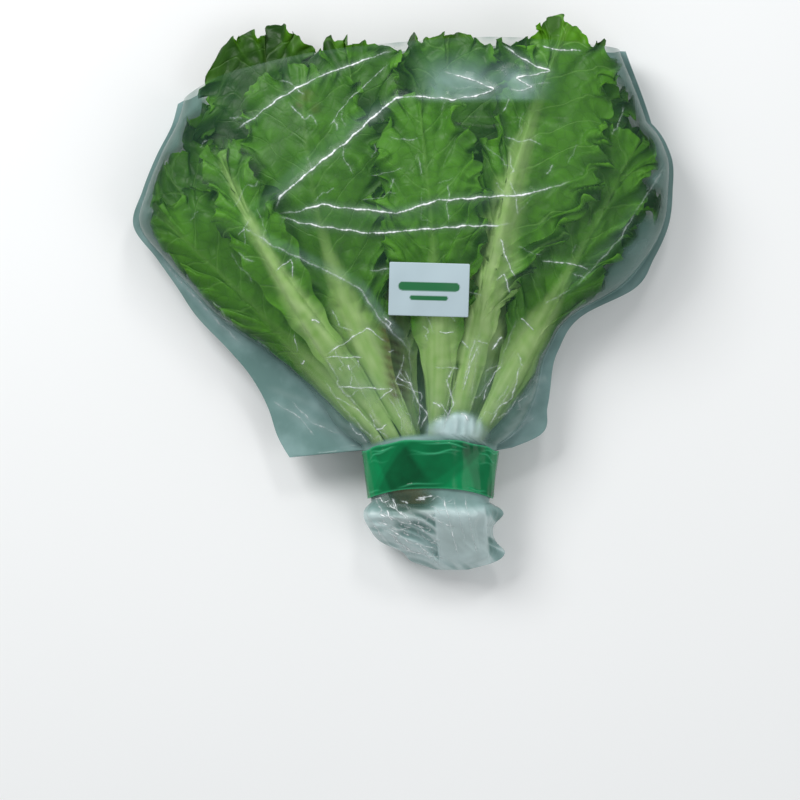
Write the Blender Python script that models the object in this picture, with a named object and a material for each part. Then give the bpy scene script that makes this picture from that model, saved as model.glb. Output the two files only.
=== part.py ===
"""Green leaf lettuce in a clear film sleeve, gathered by a tape band and lying on its back.

World frame: metres, +Z up, +Y towards the leaf tips, +X to the right as seen from above.
The origin is on the flat underside of the sleeve. Lengths in this script are millimetres.
"""

import math
from dataclasses import dataclass

import bpy
import bmesh
import numpy as np

MM = 0.001
CONTACT_GAP = 0.35

# Tape band and gathered neck
NECK_X = 15.0
NECK_Z = 25.0
NECK_HALF_WIDTH = 37.3
NECK_FOOT_HALF_WIDTH = 34.2
NECK_HALF_HEIGHT = 21.0
NECK_FOOT_HALF_HEIGHT = 19.5
NECK_TOP_Y = -79.0
NECK_FOOT_Y = -107.0
NECK_SIDE_DROP = 7.0
POUCH_START_Y = -115.0
NECK_ROUNDNESS = 2.6
NECK_SPREAD = 1.3
TAPE_THICKNESS = 0.8

# Cut stem butt
STUMP_X = 11.0
STUMP_TOP_Y = -97.0
STUMP_FOOT_Y = -116.0
STUMP_HALF_WIDTH = 24.0
STUMP_HALF_HEIGHT = 17.0

# Film sleeve
FILM_WALL = 0.7
SEAM_HALF_GAP = 1.15
RING_POINTS = 32
FLAT_SHARE = 0.72

# Leaves
BLADE_THICKNESS = 1.1
LEAF_CLEARANCE = 1.7
PILE_LAYERS = 7
BASE_ROWS = 3
BASE_GAP = 2.3
BLADE_ROWS = 15
PETIOLE_STATIONS = (0.0, 17.0, 38.0)
BLADE_START = 58.0
FRILL_WAVELENGTH = 33.0
FRILL_SHARE = 0.34
SIDE_HOLD = 0.84
SIDE_PLAY = 0.11

# Sticker
LABEL_SIZE = (44.2, 29.2)
LABEL_CENTRE = (14.0, 3.2)
LABEL_TURN = math.radians(-1.5)
LABEL_THICKNESS = 0.6


@dataclass(frozen=True)
class Station:
    """One section across the sleeve: its film edges, its loose flaps and its height."""

    y: float
    left: float
    right: float
    left_flap: float
    right_flap: float
    top: float
    bottom: float
    seam: float


STATIONS = (
    Station(-76.0, -64.0, 61.0, 40.0, 8.0, 46.5, 3.6, 22.0),
    Station(-69.0, -70.0, 77.0, 35.0, 14.0, 48.0, 2.8, 20.0),
    Station(-57.0, -76.0, 81.0, 30.0, 9.0, 51.0, 2.0, 19.0),
    Station(-30.0, -98.0, 87.0, 21.0, 6.0, 59.0, 0.9, 18.0),
    Station(-10.0, -117.0, 101.0, 11.0, 6.0, 66.0, 0.0, 18.0),
    Station(5.0, -127.0, 130.0, 7.0, 9.0, 71.0, 0.0, 18.0),
    Station(22.0, -139.0, 141.0, 6.0, 6.0, 75.0, 0.0, 18.0),
    Station(40.0, -152.0, 149.0, 6.0, 5.0, 78.0, 0.0, 18.0),
    Station(60.0, -147.0, 151.5, 5.0, 5.0, 80.0, 0.0, 18.0),
    Station(80.0, -139.0, 150.5, 5.0, 5.0, 79.0, 0.0, 18.0),
    Station(98.0, -130.0, 139.5, 4.0, 4.5, 76.0, 0.0, 18.0),
)
MOUTH_LEFT = -127.0
MOUTH_RIGHT = 125.0
MOUTH_TOP = 69.0
MOUTH_SEAM = 18.0
MOUTH_EDGE = ((-127.0, 109.0), (-105.0, 121.0), (-77.0, 129.0), (-47.0, 135.0), (-7.0, 139.5),
              (46.0, 143.0), (125.0, 138.5))


@dataclass(frozen=True)
class PouchRing:
    """One section of the crumpled pouch below the tape."""

    y: float
    x: float
    z: float
    half_width: float
    half_height: float


POUCH = (
    PouchRing(-118.5, 15.8, 24.5, 37.6, 20.5),
    PouchRing(-130.0, 15.0, 21.5, 34.6, 17.5),
    PouchRing(-138.0, 19.5, 18.0, 32.0, 14.0),
    PouchRing(-144.0, 28.0, 15.0, 28.0, 11.0),
    PouchRing(-149.5, 29.0, 12.5, 22.0, 8.0),
    PouchRing(-153.6, 27.5, 10.5, 9.5, 4.0),
)
POUCH_END_RINGS = 3
POUCH_CRUMPLE = 1.6
POUCH_PLEATS = 8
POUCH_PLEAT_SHARE = 0.045
TAIL_X = 33.0
TAIL_HALF_WIDTH = 15.0
TAIL_RISE = 3.5


@dataclass(frozen=True)
class LeafSpec:
    """One leaf: its place in the bunch, its midrib seen from above and its blade."""

    name: str
    row: int
    across: float
    layer: float
    knee: tuple
    tip: tuple
    left: float
    right: float
    rib_up: float = 0.35
    rib: float = 3.4


LEAVES = (
    LeafSpec("leaf_left_low", 2, -0.76, 4, (-84.0, -4.0), (-139.0, 48.0), 18.0, 38.0),
    LeafSpec("leaf_left_fold", 2, -0.44, 6, (-68.0, -12.0), (-104.0, 84.0), 14.0, 16.0, 0.8, 4.5),
    LeafSpec("leaf_left_front", 2, -0.14, 5, (-54.0, -14.0), (-57.0, 128.0), 42.0, 44.0),
    LeafSpec("leaf_centre_front", 2, 0.165, 6, (20.0, 0.0), (8.0, 113.0), 28.0, 30.0, 0.6, 4.0),
    LeafSpec("leaf_big_back", 2, 0.47, 5, (40.0, 34.0), (92.0, 152.0), 20.0, 54.0, 1.0, 6.0),
    LeafSpec("leaf_right_front", 2, 0.78, 4, (80.0, -8.0), (133.0, 90.0), 32.0, 20.0, 0.6, 3.6),
    LeafSpec("leaf_far_left", 1, -0.75, 3, (-88.0, 6.0), (-138.0, 76.0), 24.0, 42.0),
    LeafSpec("leaf_top_left", 1, -0.45, 2, (-72.0, 22.0), (-86.0, 150.0), 48.0, 42.0),
    LeafSpec("leaf_top_centre", 1, -0.157, 3, (-24.0, 20.0), (-31.0, 143.0), 30.0, 36.0),
    LeafSpec("leaf_top_middle", 1, 0.157, 2, (22.0, 20.0), (25.0, 148.0), 36.0, 40.0),
    LeafSpec("leaf_right_curl", 1, 0.47, 3, (68.0, 18.0), (112.0, 124.0), 39.0, 28.0),
    LeafSpec("leaf_far_right", 1, 0.78, 2, (76.0, -9.0), (140.0, 60.0), 32.0, 10.0),
    LeafSpec("leaf_back_1", 0, -0.7, 1, (-66.0, -26.0), (-108.0, 26.0), 12.0, 26.0),
    LeafSpec("leaf_back_2", 0, -0.35, 0, (-58.0, 8.0), (-108.0, 112.0), 36.0, 38.0),
    LeafSpec("leaf_back_3", 0, 0.0, 1, (2.0, 20.0), (-6.0, 136.0), 40.0, 40.0),
    LeafSpec("leaf_back_4", 0, 0.35, 0, (52.0, 20.0), (76.0, 146.0), 38.0, 42.0),
    LeafSpec("leaf_back_5", 0, 0.7, 1, (82.0, -2.0), (130.0, 100.0), 30.0, 20.0),
)


def smooth(value):
    """Smoothstep of a number or array clipped to 0..1."""
    t = np.clip(value, 0.0, 1.0)
    return t * t * (3.0 - 2.0 * t)


def curve_through(x, xs, ys):
    """Smooth curve through the points (xs, ys), read at x."""
    xs, ys = np.asarray(xs, float), np.asarray(ys, float)
    slopes = np.gradient(ys, xs)
    x = np.clip(x, xs[0], xs[-1])
    k = np.clip(np.searchsorted(xs, x) - 1, 0, len(xs) - 2)
    h = xs[k + 1] - xs[k]
    t = (x - xs[k]) / h
    rise = ys[k + 1] - ys[k]
    bend = (h * slopes[k] - rise) * (1.0 - t) + (rise - h * slopes[k + 1]) * t
    return ys[k] + t * rise + t * (1.0 - t) * bend


def dome(share, roundness):
    """Height share of a rounded section: 1 in the middle, 0 at share -1 and 1."""
    return (1.0 - np.clip(np.abs(share), 0.0, 1.0) ** roundness) ** (1.0 / roundness)


def bulge_span(y):
    """Centre and half width of the leaf-filled part of the sleeve at y."""
    ys = [STUMP_TOP_Y] + [s.y for s in STATIONS] + [109.0, 125.0]
    lefts = [STUMP_X - STUMP_HALF_WIDTH - 4.0] + [s.left + s.left_flap for s in STATIONS] + [-129.0, -144.0]
    rights = [STUMP_X + STUMP_HALF_WIDTH + 4.0] + [s.right - s.right_flap for s in STATIONS] + [134.0, 140.0]
    left, right = curve_through(y, ys, lefts), curve_through(y, ys, rights)
    return (left + right) / 2.0, (right - left) / 2.0


def pile_height(x, y):
    """Lowest and highest level that leaves may take at a plan point."""
    centre, half = bulge_span(y)
    share = np.clip((x - centre) / half, -0.97, 0.97)
    ys = [STUMP_TOP_Y] + [s.y for s in STATIONS] + [125.0, 155.0]
    tops = [STUMP_HALF_HEIGHT + NECK_Z] + [s.top for s in STATIONS] + [68.0, 60.0]
    bottoms = [NECK_Z - STUMP_HALF_HEIGHT] + [s.bottom for s in STATIONS] + [0.6, 3.0]
    seams = [NECK_Z] + [s.seam for s in STATIONS] + [18.0, 20.0]
    seam = curve_through(y, ys, seams)
    high = seam + (curve_through(y, ys, tops) - LEAF_CLEARANCE - seam) * dome(share, 2.4)
    low_roundness = np.interp(y, (-70.0, -20.0), (2.2, 3.4))
    low = seam - (seam - curve_through(y, ys, bottoms) - LEAF_CLEARANCE) * dome(share, low_roundness)
    return low, high


def bezier(points, t):
    """Cubic curve and its unit tangent at the parameters t."""
    p = np.asarray(points, float)
    t = np.asarray(t)[:, None]
    place = ((1 - t) ** 3 * p[0] + 3 * (1 - t) ** 2 * t * p[1] + 3 * (1 - t) * t ** 2 * p[2] + t ** 3 * p[3])
    rate = 3 * ((1 - t) ** 2 * (p[1] - p[0]) + 2 * (1 - t) * t * (p[2] - p[1]) + t ** 2 * (p[3] - p[2]))
    return place, rate / np.linalg.norm(rate, axis=1)[:, None]


def midrib(spec, along):
    """Plan points and tangents of a leaf's midrib at the lengths along, with its full length."""
    base = (STUMP_X + STUMP_HALF_WIDTH * spec.across, STUMP_TOP_Y + BASE_GAP)
    neck = (NECK_X + NECK_SPREAD * NECK_HALF_WIDTH * spec.across, NECK_TOP_Y + 15.0)
    points = (base, neck, spec.knee, spec.tip)
    fine = np.linspace(0.0, 1.0, 401)
    place, _ = bezier(points, fine)
    length = np.concatenate(([0.0], np.cumsum(np.linalg.norm(np.diff(place, axis=0), axis=1))))
    stations = along(length[-1])
    place, tangent = bezier(points, np.interp(stations, length, fine))
    return stations, place, tangent, length[-1]


def leaf_stations(total):
    """Lengths along the midrib at which a leaf has its cross rows."""
    return np.concatenate((PETIOLE_STATIONS, np.linspace(BLADE_START, total, BLADE_ROWS)))


def stalk_half_width(s):
    """Half width of the fleshy stalk at the length s from its base."""
    return np.interp(s, (0.0, 17.0, 38.0, 58.0), (3.2, 4.2, 5.0, 6.8))


def blade_half_width(s, total, full):
    """Half width of one side of the leaf at the length s, for a blade of that full half width."""
    widen = smooth((s - 46.0) / (0.70 * total - 46.0)) ** 0.85
    taper = 1.0 - 0.22 * smooth((s - 0.78 * total) / (0.22 * total))
    stalk = stalk_half_width(s)
    return stalk + (full * taper - stalk) * widen


def leaf_grids(spec, index):
    """Upper and lower point grids of one leaf."""
    s, spine, tangent, total = midrib(spec, leaf_stations)
    normal = np.stack((tangent[:, 1], -tangent[:, 0]), axis=1)
    left = blade_half_width(s, total, spec.left)
    right = blade_half_width(s, total, spec.right)
    rib_half = np.interp(s, (58.0, 0.6 * total, total), (6.8, 3.2, 1.4))
    rib_half = np.where(s < 58.0, stalk_half_width(s), rib_half)
    inner = np.minimum(0.62 * rib_half, 0.3 * np.minimum(left, right))
    offsets = np.stack((-left, -0.8 * left, -0.45 * left, -inner, 0 * left, inner,
                        0.45 * right, 0.8 * right, right), axis=1)
    reach = np.where(offsets < 0, offsets / left[:, None], offsets / right[:, None])
    end = smooth((s - 0.62 * total) / (0.38 * total))[:, None]
    pull = 0.44 * end * reach ** 2 * np.abs(offsets)
    phase = 2.399 * index
    wave = 2 * math.pi * s[:, None] / FRILL_WAVELENGTH + phase + 1.9 * np.sign(reach)
    open_blade = smooth((s - BLADE_START) / 40.0)[:, None]
    margin = smooth((np.abs(reach) - 0.35) / 0.65)
    scallop = 1.0 + 0.08 * open_blade * margin * np.sin(1.7 * wave)
    plan = (spine[:, None, :] + normal[:, None, :] * (offsets * scallop)[:, :, None]
            - tangent[:, None, :] * pull[:, :, None])
    x, y = plan[:, :, 0], plan[:, :, 1]
    centre, half = bulge_span(y)
    share = (x - centre) / half
    over = np.clip(np.abs(share) - SIDE_HOLD, 0.0, None)
    held = np.clip(share, -SIDE_HOLD, SIDE_HOLD) + np.sign(share) * SIDE_PLAY * np.tanh(over / SIDE_PLAY)
    x = centre + half * held
    frill = FRILL_SHARE * open_blade * margin * np.sin(wave)
    tip_edge = smooth((s - 0.86 * total) / (0.14 * total))[:, None]
    frill += 0.22 * tip_edge * (1.0 - margin) * np.sin(6.5 * reach + phase)
    cup = 0.10 * open_blade * (0.5 - reach ** 2)
    rank = (spec.row + 0.5) / BASE_ROWS
    level = (spec.layer + 0.5) / PILE_LAYERS
    away = np.hypot(x - NECK_X, y - NECK_FOOT_Y)
    fraction = rank + (level - rank) * smooth((away - 36.0) / 64.0) + (frill + cup) / PILE_LAYERS
    low, high = pile_height(x, y)
    middle = low + (high - low) * fraction
    fleshy = np.interp(s, (0.0, 17.0, 38.0, 60.0, 0.6 * total, total), (5.8, 6.4, 5.8, 4.4, spec.rib, 0.5))
    fleshy = fleshy[:, None] * (1.0 - 0.3 * spec.across ** 2)
    profile = np.sqrt(np.clip(1.0 - (offsets / rib_half[:, None]) ** 2, 0.0, 1.0))
    upward = np.interp(s, (30.0, 80.0), (0.5, spec.rib_up))[:, None]
    upper = middle + BLADE_THICKNESS / 2 + fleshy * profile * upward
    lower = middle - BLADE_THICKNESS / 2 - fleshy * profile * (1.0 - upward)
    return np.stack((x, y, upper), axis=2), np.stack((x, y, lower), axis=2)


def new_object(name, bm, colour, roughness, alpha=1.0):
    """Object of that name from a bmesh in millimetres, with its own material."""
    bmesh.ops.scale(bm, vec=(MM, MM, MM), verts=bm.verts)
    bmesh.ops.recalc_face_normals(bm, faces=bm.faces)
    mesh = bpy.data.meshes.new(name)
    bm.to_mesh(mesh)
    bm.free()
    material = bpy.data.materials.new(name + "_material")
    material.use_nodes = True
    shader = material.node_tree.nodes["Principled BSDF"]
    shader.inputs["Base Color"].default_value = (*colour, 1.0)
    shader.inputs["Roughness"].default_value = roughness
    shader.inputs["Alpha"].default_value = alpha
    mesh.materials.append(material)
    thing = bpy.data.objects.new(name, mesh)
    bpy.context.collection.objects.link(thing)
    return thing


def add_quad(bm, a, b, c, d):
    """Two triangles over the corners a, b, c, d, always split from a to c."""
    bm.faces.new((a, b, c))
    bm.faces.new((a, c, d))


def slab(upper, lower):
    """Closed bmesh between two point grids of the same shape, split alike on both faces."""
    bm = bmesh.new()
    top = [[bm.verts.new(point) for point in row] for row in upper]
    under = [[bm.verts.new(point) for point in row] for row in lower]
    rows, columns = len(top), len(top[0])
    for i in range(rows - 1):
        for j in range(columns - 1):
            add_quad(bm, top[i][j], top[i + 1][j], top[i + 1][j + 1], top[i][j + 1])
            add_quad(bm, under[i][j], under[i + 1][j], under[i + 1][j + 1], under[i][j + 1])
        add_quad(bm, top[i][0], top[i + 1][0], under[i + 1][0], under[i][0])
        add_quad(bm, top[i][-1], top[i + 1][-1], under[i + 1][-1], under[i][-1])
    for j in range(columns - 1):
        add_quad(bm, top[0][j], top[0][j + 1], under[0][j + 1], under[0][j])
        add_quad(bm, top[-1][j], top[-1][j + 1], under[-1][j + 1], under[-1][j])
    return bm


def skin(bm, rings):
    """Join closed rings of points in order; returns the rings' vertices."""
    loops = [[bm.verts.new(point) for point in ring] for ring in rings]
    for near, far in zip(loops, loops[1:]):
        for j in range(len(near)):
            k = (j + 1) % len(near)
            add_quad(bm, near[j], near[k], far[k], far[j])
    return loops


def close_ends(bm, *loops):
    """Cap each of the open loops with a fan of triangles."""
    caps = [bm.faces.new(loop) for loop in loops]
    bmesh.ops.poke(bm, faces=caps)


def build_leaves():
    """All leaves of the head, each a closed thin solid with a fleshy midrib."""
    for index, spec in enumerate(LEAVES):
        bm = slab(*leaf_grids(spec, index))
        new_object(spec.name, bm, (0.16, 0.36, 0.09), 0.55)


def rounded_ring(y, x, z, half_width, half_height, roundness, y_drop=0.0):
    """Ring of points round a rounded section, starting at +X and going over the top."""
    angle = 2 * math.pi * np.arange(RING_POINTS) / RING_POINTS
    c, s = np.cos(angle), np.sin(angle)
    power = 2.0 / roundness
    px = x + half_width * np.sign(c) * np.abs(c) ** power
    pz = z + half_height * np.sign(s) * np.abs(s) ** power
    py = y - y_drop * c ** 2 + 0 * px
    return np.stack((px, py, pz), axis=1)


def neck_ring(y, grow, drop):
    """Section of the gathered neck, wider by grow all round."""
    share = (y - NECK_TOP_Y) / (NECK_FOOT_Y - NECK_TOP_Y)
    half_width = NECK_HALF_WIDTH + share * (NECK_FOOT_HALF_WIDTH - NECK_HALF_WIDTH) + grow
    half_height = NECK_HALF_HEIGHT + share * (NECK_FOOT_HALF_HEIGHT - NECK_HALF_HEIGHT) + grow
    return rounded_ring(y, NECK_X, NECK_Z, half_width, half_height, NECK_ROUNDNESS, drop)


def film_ring(station, inset, drop):
    """Section of the sleeve, smaller by inset; only the outer one has the pressed flaps at its sides."""
    slit = SEAM_HALF_GAP - inset
    bulge_left = station.left + station.left_flap + inset
    bulge_right = station.right - station.right_flap - inset
    left, right = station.left, station.right
    if inset:
        left, right = bulge_left - inset / 2.0, bulge_right + inset / 2.0
    centre, half = (bulge_left + bulge_right) / 2.0, (bulge_right - bulge_left) / 2.0
    steps = RING_POINTS // 2 - 4
    shares = -np.cos(math.pi * np.arange(steps + 1) / steps)
    xs = np.concatenate(([(left + bulge_left) / 2.0], centre + half * shares, [(right + bulge_right) / 2.0]))
    high = station.seam + slit + (station.top - inset - station.seam - slit) * dome(shares, 3.0)
    flat = np.where(np.abs(shares) < FLAT_SHARE, 1.0, dome(shares, 6.0))
    low = station.seam - slit - (station.seam - slit - station.bottom - inset) * flat
    high = np.concatenate(([station.seam + slit], high, [station.seam + slit]))
    low = np.concatenate(([station.seam - slit], low, [station.seam - slit]))
    ring = [(right, station.seam), *zip(xs[::-1], high[::-1]), (left, station.seam), *zip(xs, low)]
    x, z = np.asarray(ring).T
    share = np.abs(x - centre) / half
    y = station.y - drop * (np.minimum(share, 1.0) ** 2 + np.clip(share - 1.0, 0.0, 1.0))
    return np.stack((x, y, z), axis=1)


def tail_rise(ring, strength):
    """Lift the upper side of a ring where the film tail is folded up the front."""
    lifted = ring.copy()
    near = np.clip(1.0 - ((ring[:, 0] - TAIL_X) / TAIL_HALF_WIDTH) ** 2, 0.0, 1.0)
    upper = ring[:, 2] > ring[:, 2].mean()
    lifted[:, 2] += np.where(upper, TAIL_RISE * strength * near, 0.0)
    return lifted


def pouch_ring(spec, inset):
    """Pleated section of the pouch below the tape."""
    angle = 2 * math.pi * np.arange(RING_POINTS) / RING_POINTS
    pleat = 1.0 + POUCH_PLEAT_SHARE * np.cos(POUCH_PLEATS * angle + 0.05 * spec.y)
    inset *= POUCH_CRUMPLE
    ring = rounded_ring(spec.y, 0.0, 0.0, spec.half_width - inset, spec.half_height - inset, 2.2)
    ring[:, 0] = spec.x + ring[:, 0] * pleat
    ring[:, 2] = spec.z + ring[:, 2] * pleat
    return ring


def mouth_ring(inset, share):
    """Section between the last station and the slanting open edge of the sleeve."""
    last = STATIONS[-1]
    blend = Station(last.y, last.left + share * (MOUTH_LEFT - last.left),
                    last.right + share * (MOUTH_RIGHT - last.right), 3.5, 3.5,
                    last.top + share * (MOUTH_TOP - last.top), 0.0, MOUTH_SEAM)
    ring = film_ring(blend, inset, 0.0)
    xs, ys = zip(*MOUTH_EDGE)
    ring[:, 1] = last.y + share * (curve_through(ring[:, 0], xs, ys) - last.y)
    return ring


def film_rings(inset):
    """All sections of the sleeve from the pouch to the mouth, smaller by inset."""
    rings = [tail_rise(pouch_ring(spec, inset), 1.0) for spec in reversed(POUCH)]
    rings.append(neck_ring(POUCH_START_Y, -inset, 0.0))
    rings.append(neck_ring(NECK_TOP_Y + inset, -inset, NECK_SIDE_DROP))
    first = STATIONS[0]
    for station in STATIONS:
        drop = NECK_SIDE_DROP * (1.0 - smooth((station.y - first.y) / 40.0))
        ring = film_ring(station, inset, drop)
        tuft = 1.0 - smooth((station.y - first.y) / 20.0)
        rings.append(tail_rise(ring, tuft))
    rings += [mouth_ring(inset, 0.5), mouth_ring(inset, 1.0)]
    return rings


def build_sleeve():
    """Clear film sleeve: a thin shell open at the leaf tips and closed at the pouch."""
    bm = bmesh.new()
    outer = skin(bm, film_rings(0.0))
    inner = skin(bm, film_rings(FILM_WALL)[POUCH_END_RINGS:])
    for j in range(RING_POINTS):
        k = (j + 1) % RING_POINTS
        add_quad(bm, outer[-1][j], outer[-1][k], inner[-1][k], inner[-1][j])
    close_ends(bm, outer[0], inner[0])
    new_object("sleeve", bm, (0.62, 0.72, 0.72), 0.25, 0.35)


def build_tape_band():
    """Wide tape wound once round the gathered neck."""
    rings = []
    for grow in (CONTACT_GAP, CONTACT_GAP + TAPE_THICKNESS):
        top = neck_ring(NECK_TOP_Y - 0.8, grow, NECK_SIDE_DROP)
        foot = neck_ring(NECK_FOOT_Y, grow, NECK_SIDE_DROP - 1.0)
        rings.append((top, foot))
    (inner_top, inner_foot), (outer_top, outer_foot) = rings
    bm = bmesh.new()
    loops = skin(bm, (inner_top, outer_top, outer_foot, inner_foot))
    for j in range(RING_POINTS):
        k = (j + 1) % RING_POINTS
        add_quad(bm, loops[-1][j], loops[-1][k], loops[0][k], loops[0][j])
    new_object("tape_band", bm, (0.0, 0.16, 0.05), 0.3)


def build_stump():
    """Cut stem butt that the stalks grow from."""
    bm = bmesh.new()
    rings = [rounded_ring(STUMP_TOP_Y, STUMP_X, NECK_Z, STUMP_HALF_WIDTH, STUMP_HALF_HEIGHT, 2.2),
             rounded_ring(STUMP_TOP_Y - 6.0, STUMP_X, NECK_Z, STUMP_HALF_WIDTH * 0.98,
                          STUMP_HALF_HEIGHT * 0.98, 2.1),
             rounded_ring(STUMP_FOOT_Y + 2.0, STUMP_X, NECK_Z, STUMP_HALF_WIDTH * 0.8,
                          STUMP_HALF_HEIGHT * 0.84, 2.0),
             rounded_ring(STUMP_FOOT_Y, STUMP_X, NECK_Z, STUMP_HALF_WIDTH * 0.7,
                          STUMP_HALF_HEIGHT * 0.74, 2.0)]
    loops = skin(bm, rings)
    close_ends(bm, loops[0], loops[-1])
    new_object("stump", bm, (0.42, 0.36, 0.2), 0.8)


def film_top(x, y):
    """Height of the sleeve's upper face at a plan point."""
    ys = [s.y for s in STATIONS]
    centre, half = bulge_span(y)
    seam = curve_through(y, ys, [s.seam for s in STATIONS]) + SEAM_HALF_GAP
    top = curve_through(y, ys, [s.top for s in STATIONS])
    return seam + (top - seam) * dome((x - centre) / half, 3.0)


def build_label():
    """Blank sticker lying on the film."""
    u, v = np.meshgrid(np.linspace(-0.5, 0.5, 7), np.linspace(-0.5, 0.5, 5), indexing="ij")
    along, up = u * LABEL_SIZE[0], v * LABEL_SIZE[1]
    x = LABEL_CENTRE[0] + along * math.cos(LABEL_TURN) - up * math.sin(LABEL_TURN)
    y = LABEL_CENTRE[1] + along * math.sin(LABEL_TURN) + up * math.cos(LABEL_TURN)
    z = film_top(x, y) + CONTACT_GAP
    bm = slab(np.stack((x, y, z + LABEL_THICKNESS), axis=2), np.stack((x, y, z), axis=2))
    new_object("label", bm, (0.72, 0.78, 0.8), 0.4)


def main():
    """Build every piece of the bunch."""
    for thing in list(bpy.data.objects):
        bpy.data.objects.remove(thing, do_unlink=True)
    build_stump()
    build_leaves()
    build_sleeve()
    build_tape_band()
    build_label()


main()
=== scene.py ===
"""Green leaf lettuce in a gathered clear sleeve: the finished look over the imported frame.

Lengths in this script are millimetres unless a name says otherwise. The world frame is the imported
model's: +Z up, +Y towards the leaf tips, +X to the right as seen from above.
"""

from __future__ import annotations

import logging
import math
from dataclasses import dataclass, field
from enum import Enum
from typing import Sequence

import bpy
import numpy as np
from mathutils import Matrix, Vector
from mathutils.bvhtree import BVHTree

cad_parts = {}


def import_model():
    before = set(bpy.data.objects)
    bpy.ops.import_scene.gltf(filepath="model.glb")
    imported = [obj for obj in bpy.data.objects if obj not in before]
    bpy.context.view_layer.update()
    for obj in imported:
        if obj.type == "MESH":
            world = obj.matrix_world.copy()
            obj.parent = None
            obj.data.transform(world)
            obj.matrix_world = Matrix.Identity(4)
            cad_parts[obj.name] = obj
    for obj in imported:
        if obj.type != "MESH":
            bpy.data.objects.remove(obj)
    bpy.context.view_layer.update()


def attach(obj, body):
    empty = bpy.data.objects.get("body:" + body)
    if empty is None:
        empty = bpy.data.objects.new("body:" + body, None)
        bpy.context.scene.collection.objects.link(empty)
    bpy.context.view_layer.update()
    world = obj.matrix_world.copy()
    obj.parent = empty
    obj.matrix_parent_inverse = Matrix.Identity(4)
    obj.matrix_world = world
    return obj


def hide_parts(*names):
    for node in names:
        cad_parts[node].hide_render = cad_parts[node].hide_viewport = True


LOG = logging.getLogger("lettuce")
Array = np.ndarray
Colour = tuple[float, float, float]
Point = tuple[float, float]

MM = 0.001

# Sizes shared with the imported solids
NECK_X = 15.0
NECK_Z = 25.0
NECK_HALF_WIDTH = 37.3
NECK_FOOT_HALF_WIDTH = 34.2
NECK_HALF_HEIGHT = 21.0
NECK_FOOT_HALF_HEIGHT = 19.5
NECK_TOP_Y = -79.0
NECK_FOOT_Y = -107.0
NECK_SIDE_DROP = 7.0
NECK_ROUNDNESS = 2.6
NECK_SPREAD = 1.3
POUCH_START_Y = -115.0
NECK_START_Y = -112.0
STUMP_X = 11.0
STUMP_TOP_Y = -97.0
STUMP_FOOT_Y = -116.0
STUMP_HALF_WIDTH = 24.0
STUMP_HALF_HEIGHT = 17.0
STUMP_MARGIN = 4.0
SEAM_HALF_GAP = 1.15
LEAF_CLEARANCE = 1.7
PILE_LAYERS = 7
BASE_ROWS = 3
BASE_GAP = 2.3
BLADE_START = 58.0
SIDE_HOLD = 0.89
SIDE_PLAY = 0.095


@dataclass(frozen=True)
class Station:
    """One section across the sleeve: film edges, loose flaps, height and side seam level."""

    y: float
    left: float
    right: float
    left_flap: float
    right_flap: float
    top: float
    bottom: float
    seam: float


STATIONS = (
    Station(-76.0, -64.0, 61.0, 40.0, 8.0, 46.5, 3.6, 22.0),
    Station(-69.0, -70.0, 77.0, 35.0, 14.0, 48.0, 2.8, 20.0),
    Station(-57.0, -76.0, 81.0, 30.0, 9.0, 51.0, 2.0, 19.0),
    Station(-30.0, -98.0, 87.0, 21.0, 6.0, 59.0, 0.9, 18.0),
    Station(-10.0, -117.0, 101.0, 11.0, 6.0, 66.0, 0.0, 18.0),
    Station(5.0, -127.0, 130.0, 7.0, 9.0, 71.0, 0.0, 18.0),
    Station(22.0, -139.0, 141.0, 4.0, 4.5, 75.0, 0.0, 18.0),
    Station(40.0, -152.0, 149.0, 3.5, 3.0, 78.0, 0.0, 18.0),
    Station(60.0, -147.0, 151.5, 2.6, 2.6, 80.0, 0.0, 18.0),
    Station(80.0, -139.0, 150.5, 2.6, 2.6, 79.0, 0.0, 18.0),
    Station(98.0, -130.0, 139.5, 2.6, 2.6, 76.0, 0.0, 18.0),
)
MOUTH = Station(109.0, -127.0, 125.0, 3.5, 3.5, 69.0, 0.0, 18.0)
MOUTH_EDGE = ((-127.0, 109.0), (-105.0, 121.0), (-77.0, 129.0), (-47.0, 135.0), (-7.0, 139.5),
              (46.0, 143.0), (125.0, 138.5))

# Room of the leaf tips past the last station: y, left, right, and y, top, bottom, seam
TIP_SIDES = ((109.0, -129.0, 134.0), (125.0, -144.0, 140.0))
TIP_LEVELS = ((125.0, 68.0, 0.6, 18.0), (155.0, 60.0, 3.0, 20.0))


@dataclass(frozen=True)
class PouchRing:
    """One section of the crumpled pouch below the tape."""

    y: float
    x: float
    z: float
    half_width: float
    half_height: float


POUCH = (
    PouchRing(POUCH_START_Y, NECK_X, NECK_Z, 33.2, 19.0),
    PouchRing(-118.5, 15.8, 24.5, 37.6, 20.5),
    PouchRing(-130.0, 15.0, 21.5, 34.6, 17.5),
    PouchRing(-138.0, 19.5, 18.0, 32.0, 14.0),
    PouchRing(-144.0, 28.0, 15.0, 28.0, 11.0),
    PouchRing(-149.5, 29.0, 12.5, 22.0, 8.0),
    PouchRing(-153.4, 27.5, 10.5, 9.5, 4.0),
)


def smooth(value: Array | float) -> Array:
    """Smoothstep of a value clipped to 0..1."""
    t = np.clip(value, 0.0, 1.0)
    return t * t * (3.0 - 2.0 * t)


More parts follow.
